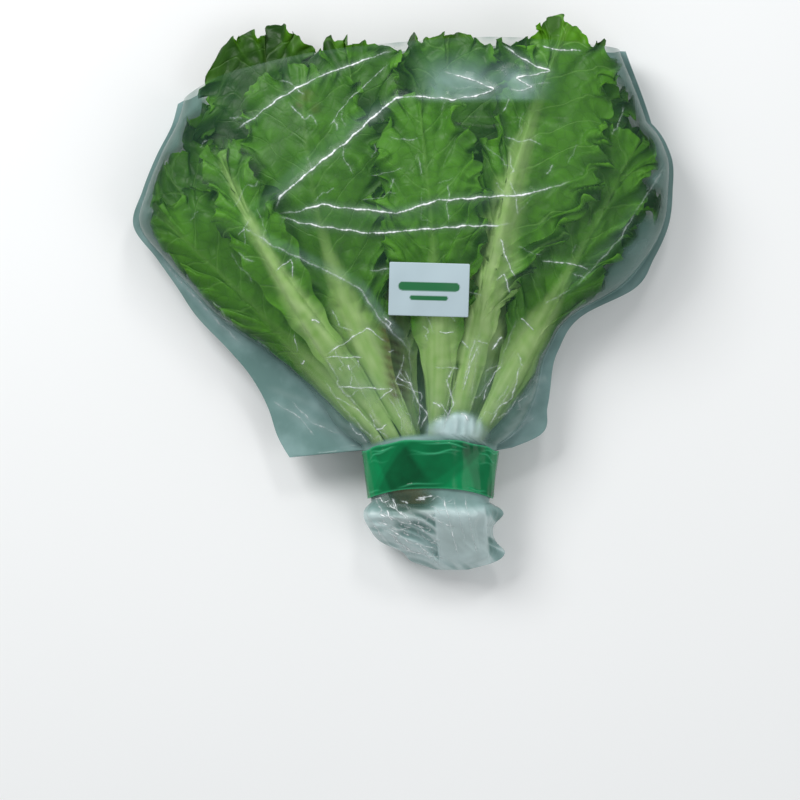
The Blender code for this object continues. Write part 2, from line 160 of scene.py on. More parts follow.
def curve_through(x: Array | float, xs: Sequence[float], ys: Sequence[float]) -> Array:
    """Smooth curve through points.

    Args:
        x: Where the curve is read.
        xs: Rising places of the points.
        ys: Values at those places.

    Returns:
        The curve's values at x.
    """
    places, values = np.asarray(xs, float), np.asarray(ys, float)
    slopes = np.gradient(values, places)
    x = np.clip(x, places[0], places[-1])
    k = np.clip(np.searchsorted(places, x) - 1, 0, len(places) - 2)
    h = places[k + 1] - places[k]
    t = (x - places[k]) / h
    rise = values[k + 1] - values[k]
    bend = (h * slopes[k] - rise) * (1.0 - t) + (rise - h * slopes[k + 1]) * t
    return values[k] + t * rise + t * (1.0 - t) * bend


def dome(share: Array, roundness: Array | float) -> Array:
    """Height share of a rounded section: 1 in the middle and 0 at share -1 and 1."""
    return (1.0 - np.clip(np.abs(share), 0.0, 1.0) ** roundness) ** (1.0 / np.asarray(roundness))


def bezier(points: Sequence[Point], t: Array) -> tuple[Array, Array]:
    """Cubic curve in the plane.

    Args:
        points: Its four control points.
        t: Parameters from 0 to 1.

    Returns:
        Places and unit tangents at t.
    """
    p = np.asarray(points, float)
    t = np.asarray(t)[:, None]
    u = 1.0 - t
    place = u ** 3 * p[0] + 3 * u ** 2 * t * p[1] + 3 * u * t ** 2 * p[2] + t ** 3 * p[3]
    rate = 3 * (u ** 2 * (p[1] - p[0]) + 2 * u * t * (p[2] - p[1]) + t ** 2 * (p[3] - p[2]))
    return place, rate / np.linalg.norm(rate, axis=1)[:, None]


@dataclass(frozen=True)
class Crumple:
    """Irregular waves over a plane: a seeded sum of sines of about one wavelength."""

    wavelength: float
    seed: int
    terms: int = 9

    def __call__(self, x: Array, y: Array) -> Array:
        """Height of the waves.

        Args:
            x: Plan places across.
            y: Plan places along.

        Returns:
            Heights, mostly within -1 and 1.
        """
        rng = np.random.default_rng(self.seed)
        total = np.zeros(np.broadcast(x, y).shape)
        for _ in range(self.terms):
            turn, phase = rng.uniform(0.0, 2.0 * math.pi, 2)
            pitch = self.wavelength * rng.uniform(0.7, 1.5)
            total += np.sin(2.0 * math.pi * (x * math.cos(turn) + y * math.sin(turn)) / pitch + phase)
        return total / (0.5 * self.terms)


class Pile:
    """Room inside the sleeve that the leaves share."""

    @staticmethod
    def span(y: Array) -> tuple[Array, Array]:
        """Width of the leaf-filled part of the sleeve.

        Args:
            y: Plan places along the sleeve.

        Returns:
            Its centre and its half width at y.
        """
        tip_ys, tip_lefts, tip_rights = (list(values) for values in zip(*TIP_SIDES))
        ys = [STUMP_TOP_Y] + [s.y for s in STATIONS] + tip_ys
        margin = STUMP_HALF_WIDTH + STUMP_MARGIN
        lefts = [STUMP_X - margin] + [s.left + s.left_flap for s in STATIONS] + tip_lefts
        rights = [STUMP_X + margin] + [s.right - s.right_flap for s in STATIONS] + tip_rights
        left, right = curve_through(y, ys, lefts), curve_through(y, ys, rights)
        return (left + right) / 2.0, (right - left) / 2.0

    @classmethod
    def levels(cls, x: Array, y: Array) -> tuple[Array, Array]:
        """Room that the leaves have in height.

        Args:
            x: Plan places across.
            y: Plan places along.

        Returns:
            Lowest and highest level of leaves at the points.
        """
        centre, half = cls.span(y)
        share = np.clip((x - centre) / half, -0.97, 0.97)
        tip_ys, tip_tops, tip_bottoms, tip_seams = (list(values) for values in zip(*TIP_LEVELS))
        ys = [STUMP_TOP_Y] + [s.y for s in STATIONS] + tip_ys
        tops = [NECK_Z + STUMP_HALF_HEIGHT] + [s.top for s in STATIONS] + tip_tops
        bottoms = [NECK_Z - STUMP_HALF_HEIGHT] + [s.bottom for s in STATIONS] + tip_bottoms
        seams = [NECK_Z] + [s.seam for s in STATIONS] + tip_seams
        seam = curve_through(y, ys, seams)
        low_roundness = np.interp(y, (-70.0, -20.0), (2.2, 3.4))
        high = seam + (curve_through(y, ys, tops) - LEAF_CLEARANCE - seam) * dome(share, 2.4)
        low = seam - (seam - curve_through(y, ys, bottoms) - LEAF_CLEARANCE) * dome(share, low_roundness)
        return low, high

    @classmethod
    def held_in(cls, x: Array, y: Array) -> Array:
        """Press plan places back inside the film.

        Args:
            x: Plan places across.
            y: Plan places along.

        Returns:
            The held places across.
        """
        centre, half = cls.span(y)
        share = (x - centre) / half
        over = np.clip(np.abs(share) - SIDE_HOLD, 0.0, None)
        held = np.clip(share, -SIDE_HOLD, SIDE_HOLD) + np.sign(share) * SIDE_PLAY * np.tanh(over / SIDE_PLAY)
        return centre + half * held


def grid_faces(rows: int, columns: int, start: int = 0, flip: bool = False) -> Array:
    """Quads over a grid of vertices numbered row by row.

    Args:
        rows: Number of rows.
        columns: Number of columns.
        start: Number of the first vertex.
        flip: Whether the faces turn the other way.

    Returns:
        One row of four vertex numbers for each face.
    """
    first = (np.arange(rows - 1)[:, None] * columns + np.arange(columns - 1)[None, :]).ravel() + start
    quads = np.stack((first, first + 1, first + columns + 1, first + columns), axis=1)
    return quads[:, ::-1] if flip else quads


def slab_faces(rows: int, columns: int) -> Array:
    """Quads of a closed slab between an upper and a lower grid of the same shape.

    Args:
        rows: Number of rows in each grid.
        columns: Number of columns in each grid.

    Returns:
        One row of four vertex numbers for each face, the lower grid numbered after the upper one.
    """
    size = rows * columns
    numbers = np.arange(size).reshape(rows, columns)
    rim = np.concatenate((numbers[0, :], numbers[1:, -1], numbers[-1, -2::-1], numbers[-2:0:-1, 0]))
    after = np.roll(rim, -1)
    sides = np.stack((rim, rim + size, after + size, after), axis=1)
    return np.concatenate((grid_faces(rows, columns), grid_faces(rows, columns, size, True), sides))


def build_piece(name: str, points: Array, faces: Array, masks: dict[str, Array],
                material: bpy.types.Material) -> bpy.types.Object:
    """Smooth-shaded mesh piece in the scene.

    Args:
        name: Name of the piece.
        points: Its vertices, millimetres.
        faces: Vertex numbers of its quads.
        masks: Values for each vertex, stored as mesh attributes for the finish.
        material: Finish of the piece.

    Returns:
        The new object.
    """
    mesh = bpy.data.meshes.new(name)
    mesh.from_pydata((points.reshape(-1, 3) * MM).tolist(), [], faces.tolist())
    mesh.validate()
    mesh.shade_smooth()
    for label, values in masks.items():
        layer = mesh.attributes.new(label, "FLOAT", "POINT")
        layer.data.foreach_set("value", np.asarray(values, np.float32).ravel())
    mesh.materials.append(material)
    piece = bpy.data.objects.new(name, mesh)
    bpy.context.scene.collection.objects.link(piece)
    return piece


def stand_for(piece: bpy.types.Object, slot: str, *nodes: str) -> None:
    """Let a piece ride with the bunch in place of CAD nodes.

    Args:
        piece: The piece of this script.
        slot: Name of the record's material slot; not used.
        nodes: Names of the CAD nodes that it stands for.
    """
    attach(piece, "root")
    if nodes:
        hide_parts(*nodes)
    LOG.info("%s: %d faces", piece.name, len(piece.data.polygons))


class NodeTree:
    """Short ways to place and link nodes in a material or a node group."""

    def __init__(self, tree: bpy.types.NodeTree) -> None:
        """Work on that node tree."""
        self.tree = tree

    def node(self, kind: str, **values: object) -> bpy.types.Node:
        """New node.

        Args:
            kind: Type name of the node.
            values: Properties to set on it.

        Returns:
            The node.
        """
        made = self.tree.nodes.new(kind)
        for key, value in values.items():
            setattr(made, key, value)
        return made

    def link(self, source: bpy.types.NodeSocket, target: bpy.types.NodeSocket) -> None:
        """Link one socket to another."""
        self.tree.links.new(source, target)

    def mask(self, label: str) -> bpy.types.NodeSocket:
        """Value of a mesh attribute."""
        return self.node("ShaderNodeAttribute", attribute_name=label).outputs["Fac"]

    def math(self, operation: str, first: object, second: object = 0.0,
             clamp: bool = False) -> bpy.types.NodeSocket:
        """Result of a Math node.

        Args:
            operation: Name of the operation.
            first: Socket or number.
            second: Socket or number.
            clamp: Whether the result is kept within 0 and 1.

        Returns:
            The result's socket.
        """
        made = self.node("ShaderNodeMath", operation=operation, use_clamp=clamp)
        for socket, value in zip(made.inputs, (first, second)):
            if isinstance(value, bpy.types.NodeSocket):
                self.link(value, socket)
            else:
                socket.default_value = value
        return made.outputs[0]

    def mix(self, factor: object, first: object, second: object) -> bpy.types.NodeSocket:
        """Mixed colour.

        Args:
            factor: Socket or number, 0 for the first colour and 1 for the second.
            first: Socket or colour.
            second: Socket or colour.

        Returns:
            The mixed colour's socket.
        """
        made = self.node("ShaderNodeMix", data_type="RGBA")
        colours = [s for s in made.inputs if s.type == "RGBA"]
        places = (made.inputs[0], colours[0], colours[1])
        for socket, value in zip(places, (factor, first, second)):
            if isinstance(value, bpy.types.NodeSocket):
                self.link(value, socket)
            elif isinstance(value, tuple):
                socket.default_value = (*value, 1.0)
            else:
                socket.default_value = value
        return made.outputs["Result"] if "Result" in made.outputs else made.outputs[2]

    def stretch(self, value: object, low: float, high: float) -> bpy.types.NodeSocket:
        """Value stretched over 0 to 1.

        Args:
            value: Socket of the value.
            low: Value that becomes 0.
            high: Value that becomes 1.

        Returns:
            Socket of the stretched value, clamped.
        """
        made = self.node("ShaderNodeMapRange", clamp=True)
        self.link(value, made.inputs["Value"])
        made.inputs["From Min"].default_value = low
        made.inputs["From Max"].default_value = high
        return made.outputs["Result"]


class SharedGroups:
    """Shader node groups that more than one finish uses, each built once."""

    _built: dict[str, bpy.types.NodeTree] = {}

    @classmethod
    def mottle(cls) -> bpy.types.NodeTree:
        """Uneven colour at two scales.

        Returns:
            Group that puts out a shade mask and a fine grain height.
        """
        if "mottle" in cls._built:
            return cls._built["mottle"]
        tree = bpy.data.node_groups.new("mottle", "ShaderNodeTree")
        face = tree.interface
        for name, value in (("Broad Scale", 60.0), ("Fine Scale", 700.0), ("Contrast", 1.0)):
            socket = face.new_socket(name=name, in_out="INPUT", socket_type="NodeSocketFloat")
            socket.default_value = value
        face.new_socket(name="Shade", in_out="OUTPUT", socket_type="NodeSocketFloat")
        face.new_socket(name="Grain", in_out="OUTPUT", socket_type="NodeSocketFloat")
        kit = NodeTree(tree)
        entry, leave = kit.node("NodeGroupInput"), kit.node("NodeGroupOutput")
        place = kit.node("ShaderNodeTexCoord").outputs["Object"]
        broad, fine = kit.node("ShaderNodeTexNoise"), kit.node("ShaderNodeTexNoise")
        for noise, scale, detail in ((broad, "Broad Scale", 4.0), (fine, "Fine Scale", 2.0)):
            noise.inputs["Detail"].default_value = detail
            kit.link(place, noise.inputs["Vector"])
            kit.link(entry.outputs[scale], noise.inputs["Scale"])
        centred = kit.math("SUBTRACT", broad.outputs["Fac"], 0.5)
        scaled = kit.math("MULTIPLY", centred, entry.outputs["Contrast"])
        kit.link(kit.math("ADD", scaled, 0.5, clamp=True), leave.inputs["Shade"])
        kit.link(fine.outputs["Fac"], leave.inputs["Grain"])
        cls._built["mottle"] = tree
        return tree


def place_group(kit: NodeTree, tree: bpy.types.NodeTree, **values: float) -> bpy.types.Node:
    """Place a node group in a material.

    Args:
        kit: Node tree of the material.
        tree: The group.
        values: Input values, by the inputs' names in snake case.

    Returns:
        The group node.
    """
    made = kit.node("ShaderNodeGroup", node_tree=tree)
    for key, value in values.items():
        made.inputs[key.replace("_", " ").title()].default_value = value
    return made


def new_material(name: str) -> tuple[bpy.types.Material, NodeTree, bpy.types.Node]:
    """New node material.

    Args:
        name: Name of the material.

    Returns:
        The material, its node tree and its Principled BSDF.
    """
    material = bpy.data.materials.new(name)
    material.use_nodes = True
    return material, NodeTree(material.node_tree), material.node_tree.nodes["Principled BSDF"]


def add_bump(kit: NodeTree, shader: bpy.types.Node, height: bpy.types.NodeSocket, strength: float,
             distance_mm: float) -> None:
    """Lead a height mask through a Bump node to a shader's normal.

    Args:
        kit: Node tree of the material.
        shader: The shader.
        height: Socket of the height mask.
        strength: Strength of the bump.
        distance_mm: Height of a full step.
    """
    bump = kit.node("ShaderNodeBump")
    bump.inputs["Strength"].default_value = strength
    bump.inputs["Distance"].default_value = distance_mm * MM
    kit.link(height, bump.inputs["Height"])
    kit.link(bump.outputs["Normal"], shader.inputs["Normal"])


@dataclass(frozen=True)
class LeafFinish:
    """Living leaf: pale stalk and veins, green blade, bright frill, a little withering; painted shade in
    hollows, painted light on crests.
    """

    # deep is the darkest green, also used as painted shade in ruffle hollows and on the back row
    deep: Colour = (0.013, 0.056, 0.004)
    fresh: Colour = (0.080, 0.258, 0.010)
    frill: Colour = (0.105, 0.330, 0.004)
    stalk: Colour = (0.275, 0.500, 0.105)
    stalk_light: Colour = (0.530, 0.710, 0.310)
    vein: Colour = (0.175, 0.385, 0.075)
    brown: Colour = (0.125, 0.098, 0.032)
    vein_pitch: float = 0.019
    net_scale: float = 150.0
    roughness: float = 0.40

    def veins(self, kit: NodeTree) -> tuple[bpy.types.NodeSocket, bpy.types.NodeSocket]:
        """Masks of the veins.

        Args:
            kit: Node tree of the material.

        Returns:
            Sockets of the side veins and of the fine net between them.
        """
        across, along = kit.mask("rib_across"), kit.mask("rib_along")
        place = kit.node("ShaderNodeCombineXYZ")
        kit.link(across, place.inputs["X"])
        kit.link(along, place.inputs["Y"])
        kit.link(kit.math("MULTIPLY", kit.mask("tone"), 0.5), place.inputs["Z"])
        warp = kit.node("ShaderNodeTexNoise")
        warp.inputs["Scale"].default_value = 42.0
        warp.inputs["Detail"].default_value = 2.0
        kit.link(place.outputs["Vector"], warp.inputs["Vector"])
        side = kit.math("ABSOLUTE", across)
        slant = kit.math("SUBTRACT", along, kit.math("MULTIPLY", side, 0.95))
        slant = kit.math("ADD", slant, kit.math("MULTIPLY", kit.math("GREATER_THAN", across, 0.0), 0.008))
        slant = kit.math("ADD", slant, kit.math("MULTIPLY", warp.outputs["Fac"], 0.014))
        turn = kit.math("FRACT", kit.math("DIVIDE", slant, self.vein_pitch))
        gap = kit.math("ABSOLUTE", kit.math("SUBTRACT", turn, 0.5))
        thin = kit.math("MULTIPLY_ADD", side, -0.9)
        thin.node.inputs[2].default_value = 0.055
        thin = kit.math("MAXIMUM", thin, 0.018)
        main = kit.math("SUBTRACT", 1.0, kit.math("DIVIDE", gap, thin), clamp=True)
        cells = kit.node("ShaderNodeTexVoronoi", feature="DISTANCE_TO_EDGE")
        cells.inputs["Scale"].default_value = self.net_scale
        kit.link(place.outputs["Vector"], cells.inputs["Vector"])
        net = kit.math("SUBTRACT", 1.0, kit.stretch(cells.outputs["Distance"], 0.0, 0.12))
        return main, net

    def build(self) -> bpy.types.Material:
        """Material that reads the leaf's own masks.

        Returns:
            The leaf material.
        """
        material, kit, shader = new_material("living_leaf")
        mottle = place_group(kit, SharedGroups.mottle(), broad_scale=38.0, fine_scale=620.0, contrast=1.7)
        main, net = self.veins(kit)
        lightness = kit.math("ADD", kit.math("MULTIPLY", mottle.outputs["Shade"], 0.55),
                             kit.math("MULTIPLY", kit.mask("tone"), 0.75))
        # Painted light: raised blisters and ruffle crests are coloured lighter by their height
        lightness = kit.math("ADD", lightness, kit.math("MULTIPLY", kit.mask("swell"), 0.15))
        blade = kit.mix(kit.stretch(lightness, 0.15, 1.05), self.deep, self.fresh)
        # Frill colour at the margins; the edge mask also carries painted light on ruffle crests and a painted
        # rim highlight
        blade = kit.mix(kit.math("MULTIPLY", kit.mask("edge"), 0.7), blade, self.frill)
        blade = kit.mix(kit.math("MULTIPLY", net, 0.16), blade, self.deep)
        # Painted shade: the blade turns deep green in the hollows of the margin ruffles
        blade = kit.mix(kit.math("MULTIPLY", kit.mask("pocket_shade"), 0.8), blade, self.deep)
        blade = kit.mix(kit.math("MULTIPLY", main, kit.mask("veiny")), blade, self.vein)
        stalk = kit.mix(kit.mask("streak"), self.stalk, self.stalk_light)
        base = kit.mix(kit.mask("green"), stalk, blade)
        base = kit.mix(kit.mask("wither"), base, self.brown)
        kit.link(base, shader.inputs["Base Color"])
        rough = kit.math("MULTIPLY_ADD", mottle.outputs["Shade"], 0.2)
        rough.node.inputs[2].default_value = self.roughness - 0.08
        kit.link(rough, shader.inputs["Roughness"])
        shader.inputs["Specular IOR Level"].default_value = 0.2
        height = kit.math("ADD", kit.math("MULTIPLY", net, -0.5), kit.math("MULTIPLY", main, -1.2))
        height = kit.math("MULTIPLY", height, kit.mask("green"))
        height = kit.math("ADD", height, kit.math("MULTIPLY", mottle.outputs["Grain"], 0.5))
        add_bump(kit, shader, height, 0.45, 0.5)
        return material


@dataclass(frozen=True)
class FilmFinish:
    """Clear film: nearly unseen over leaves, grey-green where plies meet, painted highlights along creases
    and painted sheens.
    """

    veil: Colour = (0.120, 0.218, 0.204)
    clear: Colour = (0.060, 0.170, 0.100)
    haze_and_sheen: Colour = (0.390, 0.560, 0.560)
    white: Colour = (0.900, 0.950, 0.960)
    clear_alpha: float = 0.13
    veil_alpha: float = 0.94
    roughness: float = 0.14

    def build(self) -> bpy.types.Material:
        """Material that reads the film's veil mask, its haze mask with painted sheen and its crease mask of
        painted highlights.

        Returns:
            The film material.
        """
        material, kit, shader = new_material("clear_film")
        mottle = place_group(kit, SharedGroups.mottle(), broad_scale=34.0, fine_scale=260.0, contrast=2.2)
        veil, haze_and_sheen, crease = kit.mask("veil"), kit.mask("haze_and_sheen"), kit.mask("crease")
        # Milky haze of the film together with painted sheens and reflections
        cloudy_and_sheen = kit.math("MULTIPLY", haze_and_sheen, kit.stretch(mottle.outputs["Shade"], -0.2, 0.8), clamp=True)
        shaded = kit.math("MULTIPLY", kit.math("SUBTRACT", mottle.outputs["Shade"], 0.3), 0.6, clamp=True)
        tint = kit.mix(veil, self.clear, self.veil)
        tint = kit.mix(kit.math("MULTIPLY", shaded, veil), tint, self.haze_and_sheen)
        tint = kit.mix(cloudy_and_sheen, tint, self.haze_and_sheen)
        # Painted highlight: white along the creases
        tint = kit.mix(crease, tint, self.white)
        kit.link(tint, shader.inputs["Base Color"])
        alpha = kit.math("MULTIPLY_ADD", veil, self.veil_alpha - self.clear_alpha)
        alpha.node.inputs[2].default_value = self.clear_alpha
        alpha = kit.math("ADD", alpha, kit.math("MULTIPLY", cloudy_and_sheen, 0.8))
        alpha = kit.math("ADD", alpha, kit.math("MULTIPLY", crease, 0.9), clamp=True)
        kit.link(alpha, shader.inputs["Alpha"])
        shader.inputs["Roughness"].default_value = self.roughness
        shader.inputs["Specular IOR Level"].default_value = 0.16
        add_bump(kit, shader, mottle.outputs["Grain"], 0.12, 0.4)
        return material


@dataclass(frozen=True)
class CrestHighlightFinish:
    """Painted white highlight along the crest of a sharp fold in the film."""

    dull: Colour = (0.620, 0.740, 0.740)
    bright: Colour = (0.960, 0.985, 0.990)
    roughness: float = 0.3

    def build(self) -> bpy.types.Material:
        """Painted highlight material that fades out at the foot of each fold.

        Returns:
            The crest material.
        """
        material, kit, shader = new_material("film_crest_highlight")
        mottle = place_group(kit, SharedGroups.mottle(), broad_scale=300.0, fine_scale=900.0, contrast=2.0)
        # crease mask: strength of the painted highlight
        crease = kit.mask("crease")
        tint = kit.math("MAXIMUM", crease, kit.math("MULTIPLY", mottle.outputs["Shade"], 0.5))
        kit.link(kit.mix(tint, self.dull, self.bright), shader.inputs["Base Color"])
        kit.link(kit.math("MULTIPLY", crease, 1.15, clamp=True), shader.inputs["Alpha"])
        shader.inputs["Roughness"].default_value = self.roughness
        shader.inputs["Specular IOR Level"].default_value = 0.5
        return material


@dataclass(frozen=True)
class TapeFinish:
    """Glossy green tape whose wound plies show as slanting darker and lighter fields, with a painted
    highlight on edges and crinkles.
    """

    dark: Colour = (0.000, 0.062, 0.020)
    bright: Colour = (0.001, 0.240, 0.078)
    lip_highlight: Colour = (0.050, 0.400, 0.190)
    roughness: float = 0.16

    def build(self) -> bpy.types.Material:
        """Material that reads the tape's ply mask and its mask of painted highlights along edges and
        crinkles.

        Returns:
            The tape material.
        """
        material, kit, shader = new_material("green_tape")
        mottle = place_group(kit, SharedGroups.mottle(), broad_scale=90.0, fine_scale=500.0, contrast=1.4)
        tone = kit.math("ADD", kit.mask("ply"), kit.math("MULTIPLY", mottle.outputs["Shade"], 0.35))
        base = kit.mix(kit.stretch(tone, 0.1, 1.1), self.dark, self.bright)
        # Painted highlight on the tape's edges and crinkles
        base = kit.mix(kit.math("MULTIPLY", kit.mask("lip_highlight"), 0.8), base, self.lip_highlight)
        kit.link(base, shader.inputs["Base Color"])
        shader.inputs["Roughness"].default_value = self.roughness
        shader.inputs["Specular IOR Level"].default_value = 0.22
        add_bump(kit, shader, mottle.outputs["Grain"], 0.1, 0.3)
        return material


@dataclass(frozen=True)
class StickerFinish:
    """White paper sticker with two plain green bars."""

    paper: Colour = (0.520, 0.640, 0.690)
    shade: Colour = (0.430, 0.550, 0.600)
    ink: Colour = (0.010, 0.150, 0.045)
    roughness: float = 0.45

    def build(self) -> bpy.types.Material:
        """Material that reads the sticker's ink mask.

        Returns:
            The paper material.
        """
        material, kit, shader = new_material("paper_sticker")
        mottle = place_group(kit, SharedGroups.mottle(), broad_scale=35.0, fine_scale=2500.0, contrast=0.9)
        base = kit.mix(mottle.outputs["Shade"], self.shade, self.paper)
        base = kit.mix(kit.mask("ink"), base, self.ink)
        kit.link(base, shader.inputs["Base Color"])
        shader.inputs["Roughness"].default_value = self.roughness
        add_bump(kit, shader, mottle.outputs["Grain"], 0.12, 0.1)
        return material


@dataclass(frozen=True)
class StumpFinish:
    """Cut stem butt: pale green flank and a browned, ringed cut face."""

    flank: Colour = (0.380, 0.420, 0.210)
    cut: Colour = (0.330, 0.220, 0.090)
    dark: Colour = (0.110, 0.070, 0.025)
    roughness: float = 0.7

    def build(self) -> bpy.types.Material:
        """Material that reads the stump's cut and ring masks.

        Returns:
            The stem material.
        """
        material, kit, shader = new_material("cut_stem")
        mottle = place_group(kit, SharedGroups.mottle(), broad_scale=120.0, fine_scale=900.0, contrast=2.0)
        face = kit.mix(mottle.outputs["Shade"], self.dark, self.cut)
        face = kit.mix(kit.math("MULTIPLY", kit.mask("ring"), 0.6), face, self.dark)
        flank = kit.mix(mottle.outputs["Shade"], self.cut, self.flank)
        kit.link(kit.mix(kit.mask("cut"), flank, face), shader.inputs["Base Color"])
        shader.inputs["Roughness"].default_value = self.roughness
        add_bump(kit, shader, mottle.outputs["Grain"], 0.5, 0.6)
        return material


@dataclass(frozen=True)
class FloorFinish:
    """Plain pale floor with a very faint unevenness."""

    pale: Colour = (0.860, 0.870, 0.870)
    light: Colour = (0.900, 0.905, 0.905)
    roughness: float = 0.9

    def build(self) -> bpy.types.Material:
        """Matte floor material.

        Returns:
            The floor material.
        """
        material, kit, shader = new_material("pale_floor")
        mottle = place_group(kit, SharedGroups.mottle(), broad_scale=3.0, fine_scale=80.0, contrast=1.0)
        kit.link(kit.mix(mottle.outputs["Shade"], self.pale, self.light), shader.inputs["Base Color"])
        shader.inputs["Roughness"].default_value = self.roughness
        return material


class LeafRow(Enum):
    """Row of the bunch that a leaf stands in, with its mesh rows and columns and its lower wings."""

    BACK = (0, 13, 201, 1.5)
    MIDDLE = (1, 22, 421, 1.45)
    FRONT = (2, 28, 561, 1.22)

    @property
    def rank(self) -> int:
        """Place of the row counted from the resting side."""
        return self.value[0]

    @property
    def rows(self) -> int:
        """Mesh rows from the midrib to the margin."""
        return self.value[1]

    @property
    def columns(self) -> int:
        """Mesh columns along the margin, from one side of the base round the tip to the other."""
        return self.value[2]

    @property
    def wing(self) -> float:
        """How much the stalk's soft wings widen it."""
        return self.value[3]


@dataclass(frozen=True)
class PlanMap:
    """Values in square cells over the plan, read smoothly between them."""

    cells: Array
    low: float
    cell: float

    def __call__(self, x: Array, y: Array) -> Array:
        """Read the map.

        Args:
            x: Plan places across.
            y: Plan places along.

        Returns:
            Values at the points.
        """
        last = len(self.cells) - 1.001
        u = np.clip((x - self.low) / self.cell - 0.5, 0.0, last)
        v = np.clip((y - self.low) / self.cell - 0.5, 0.0, last)
        i, j = u.astype(int), v.astype(int)
        a, b = u - i, v - j
        return ((1 - a) * (1 - b) * self.cells[i, j] + a * (1 - b) * self.cells[i + 1, j]
                + (1 - a) * b * self.cells[i, j + 1] + a * b * self.cells[i + 1, j + 1])


@dataclass(frozen=True)
class Ruffle:
    """One size of wave along a leaf's margin: how far it stands up, out and along, and how deep."""

    pitch: float
    up: float
    out: float
    along: float
    depth: float


# Waves and limits that all leaves share: sizes of ruffle, highest and lowest level, and where along the
# midrib the blade opens and the frill of a hidden leaf starts
RUFFLES = (Ruffle(12.0, 4.2, 3.2, 1.4, 8.0), Ruffle(5.4, 3.0, 2.4, 0.7, 4.6), Ruffle(3.3, 1.9, 1.8, 0.5, 2.6),
           Ruffle(31.0, 2.4, 3.0, 2.6, 15.0))
CEILING = 78.0
LOWEST = 0.3
OPEN_START = 44.0
OPEN_RUN = 40.0
HIDDEN_FRILL_START = 50.0
FRILL_RUN = 46.0
BROAD_PITCH = 33.0
RIGHT_DROOP = 0.44
GOLDEN_TURN = 2.399
MIDRIB_STEPS = 801
NECK_LEAD = 15.0

# Plan places that are browned; a bruise also has its size and its strength
WILTED_STALK = tuple((-6.4 + 0.43 * k, -15.7 - 3.0 * k) for k in range(14))
BRUISES = ((-54.0, 111.0, 4.0, 0.55), (-49.0, 104.0, 2.6, 0.55), (-58.0, 106.0, 2.0, 0.55))


@dataclass(frozen=True)
class BladeGrid:
    """Mesh places of one flat leaf, against its midrib and its margin."""

    total: float
    s: Array
    reach: Array
    offset: Array
    spine: Array
    tangent: Array
    side: Array
    opened: Array
    to_margin: Array
    around: Array
    out_x: Array
    out_y: Array


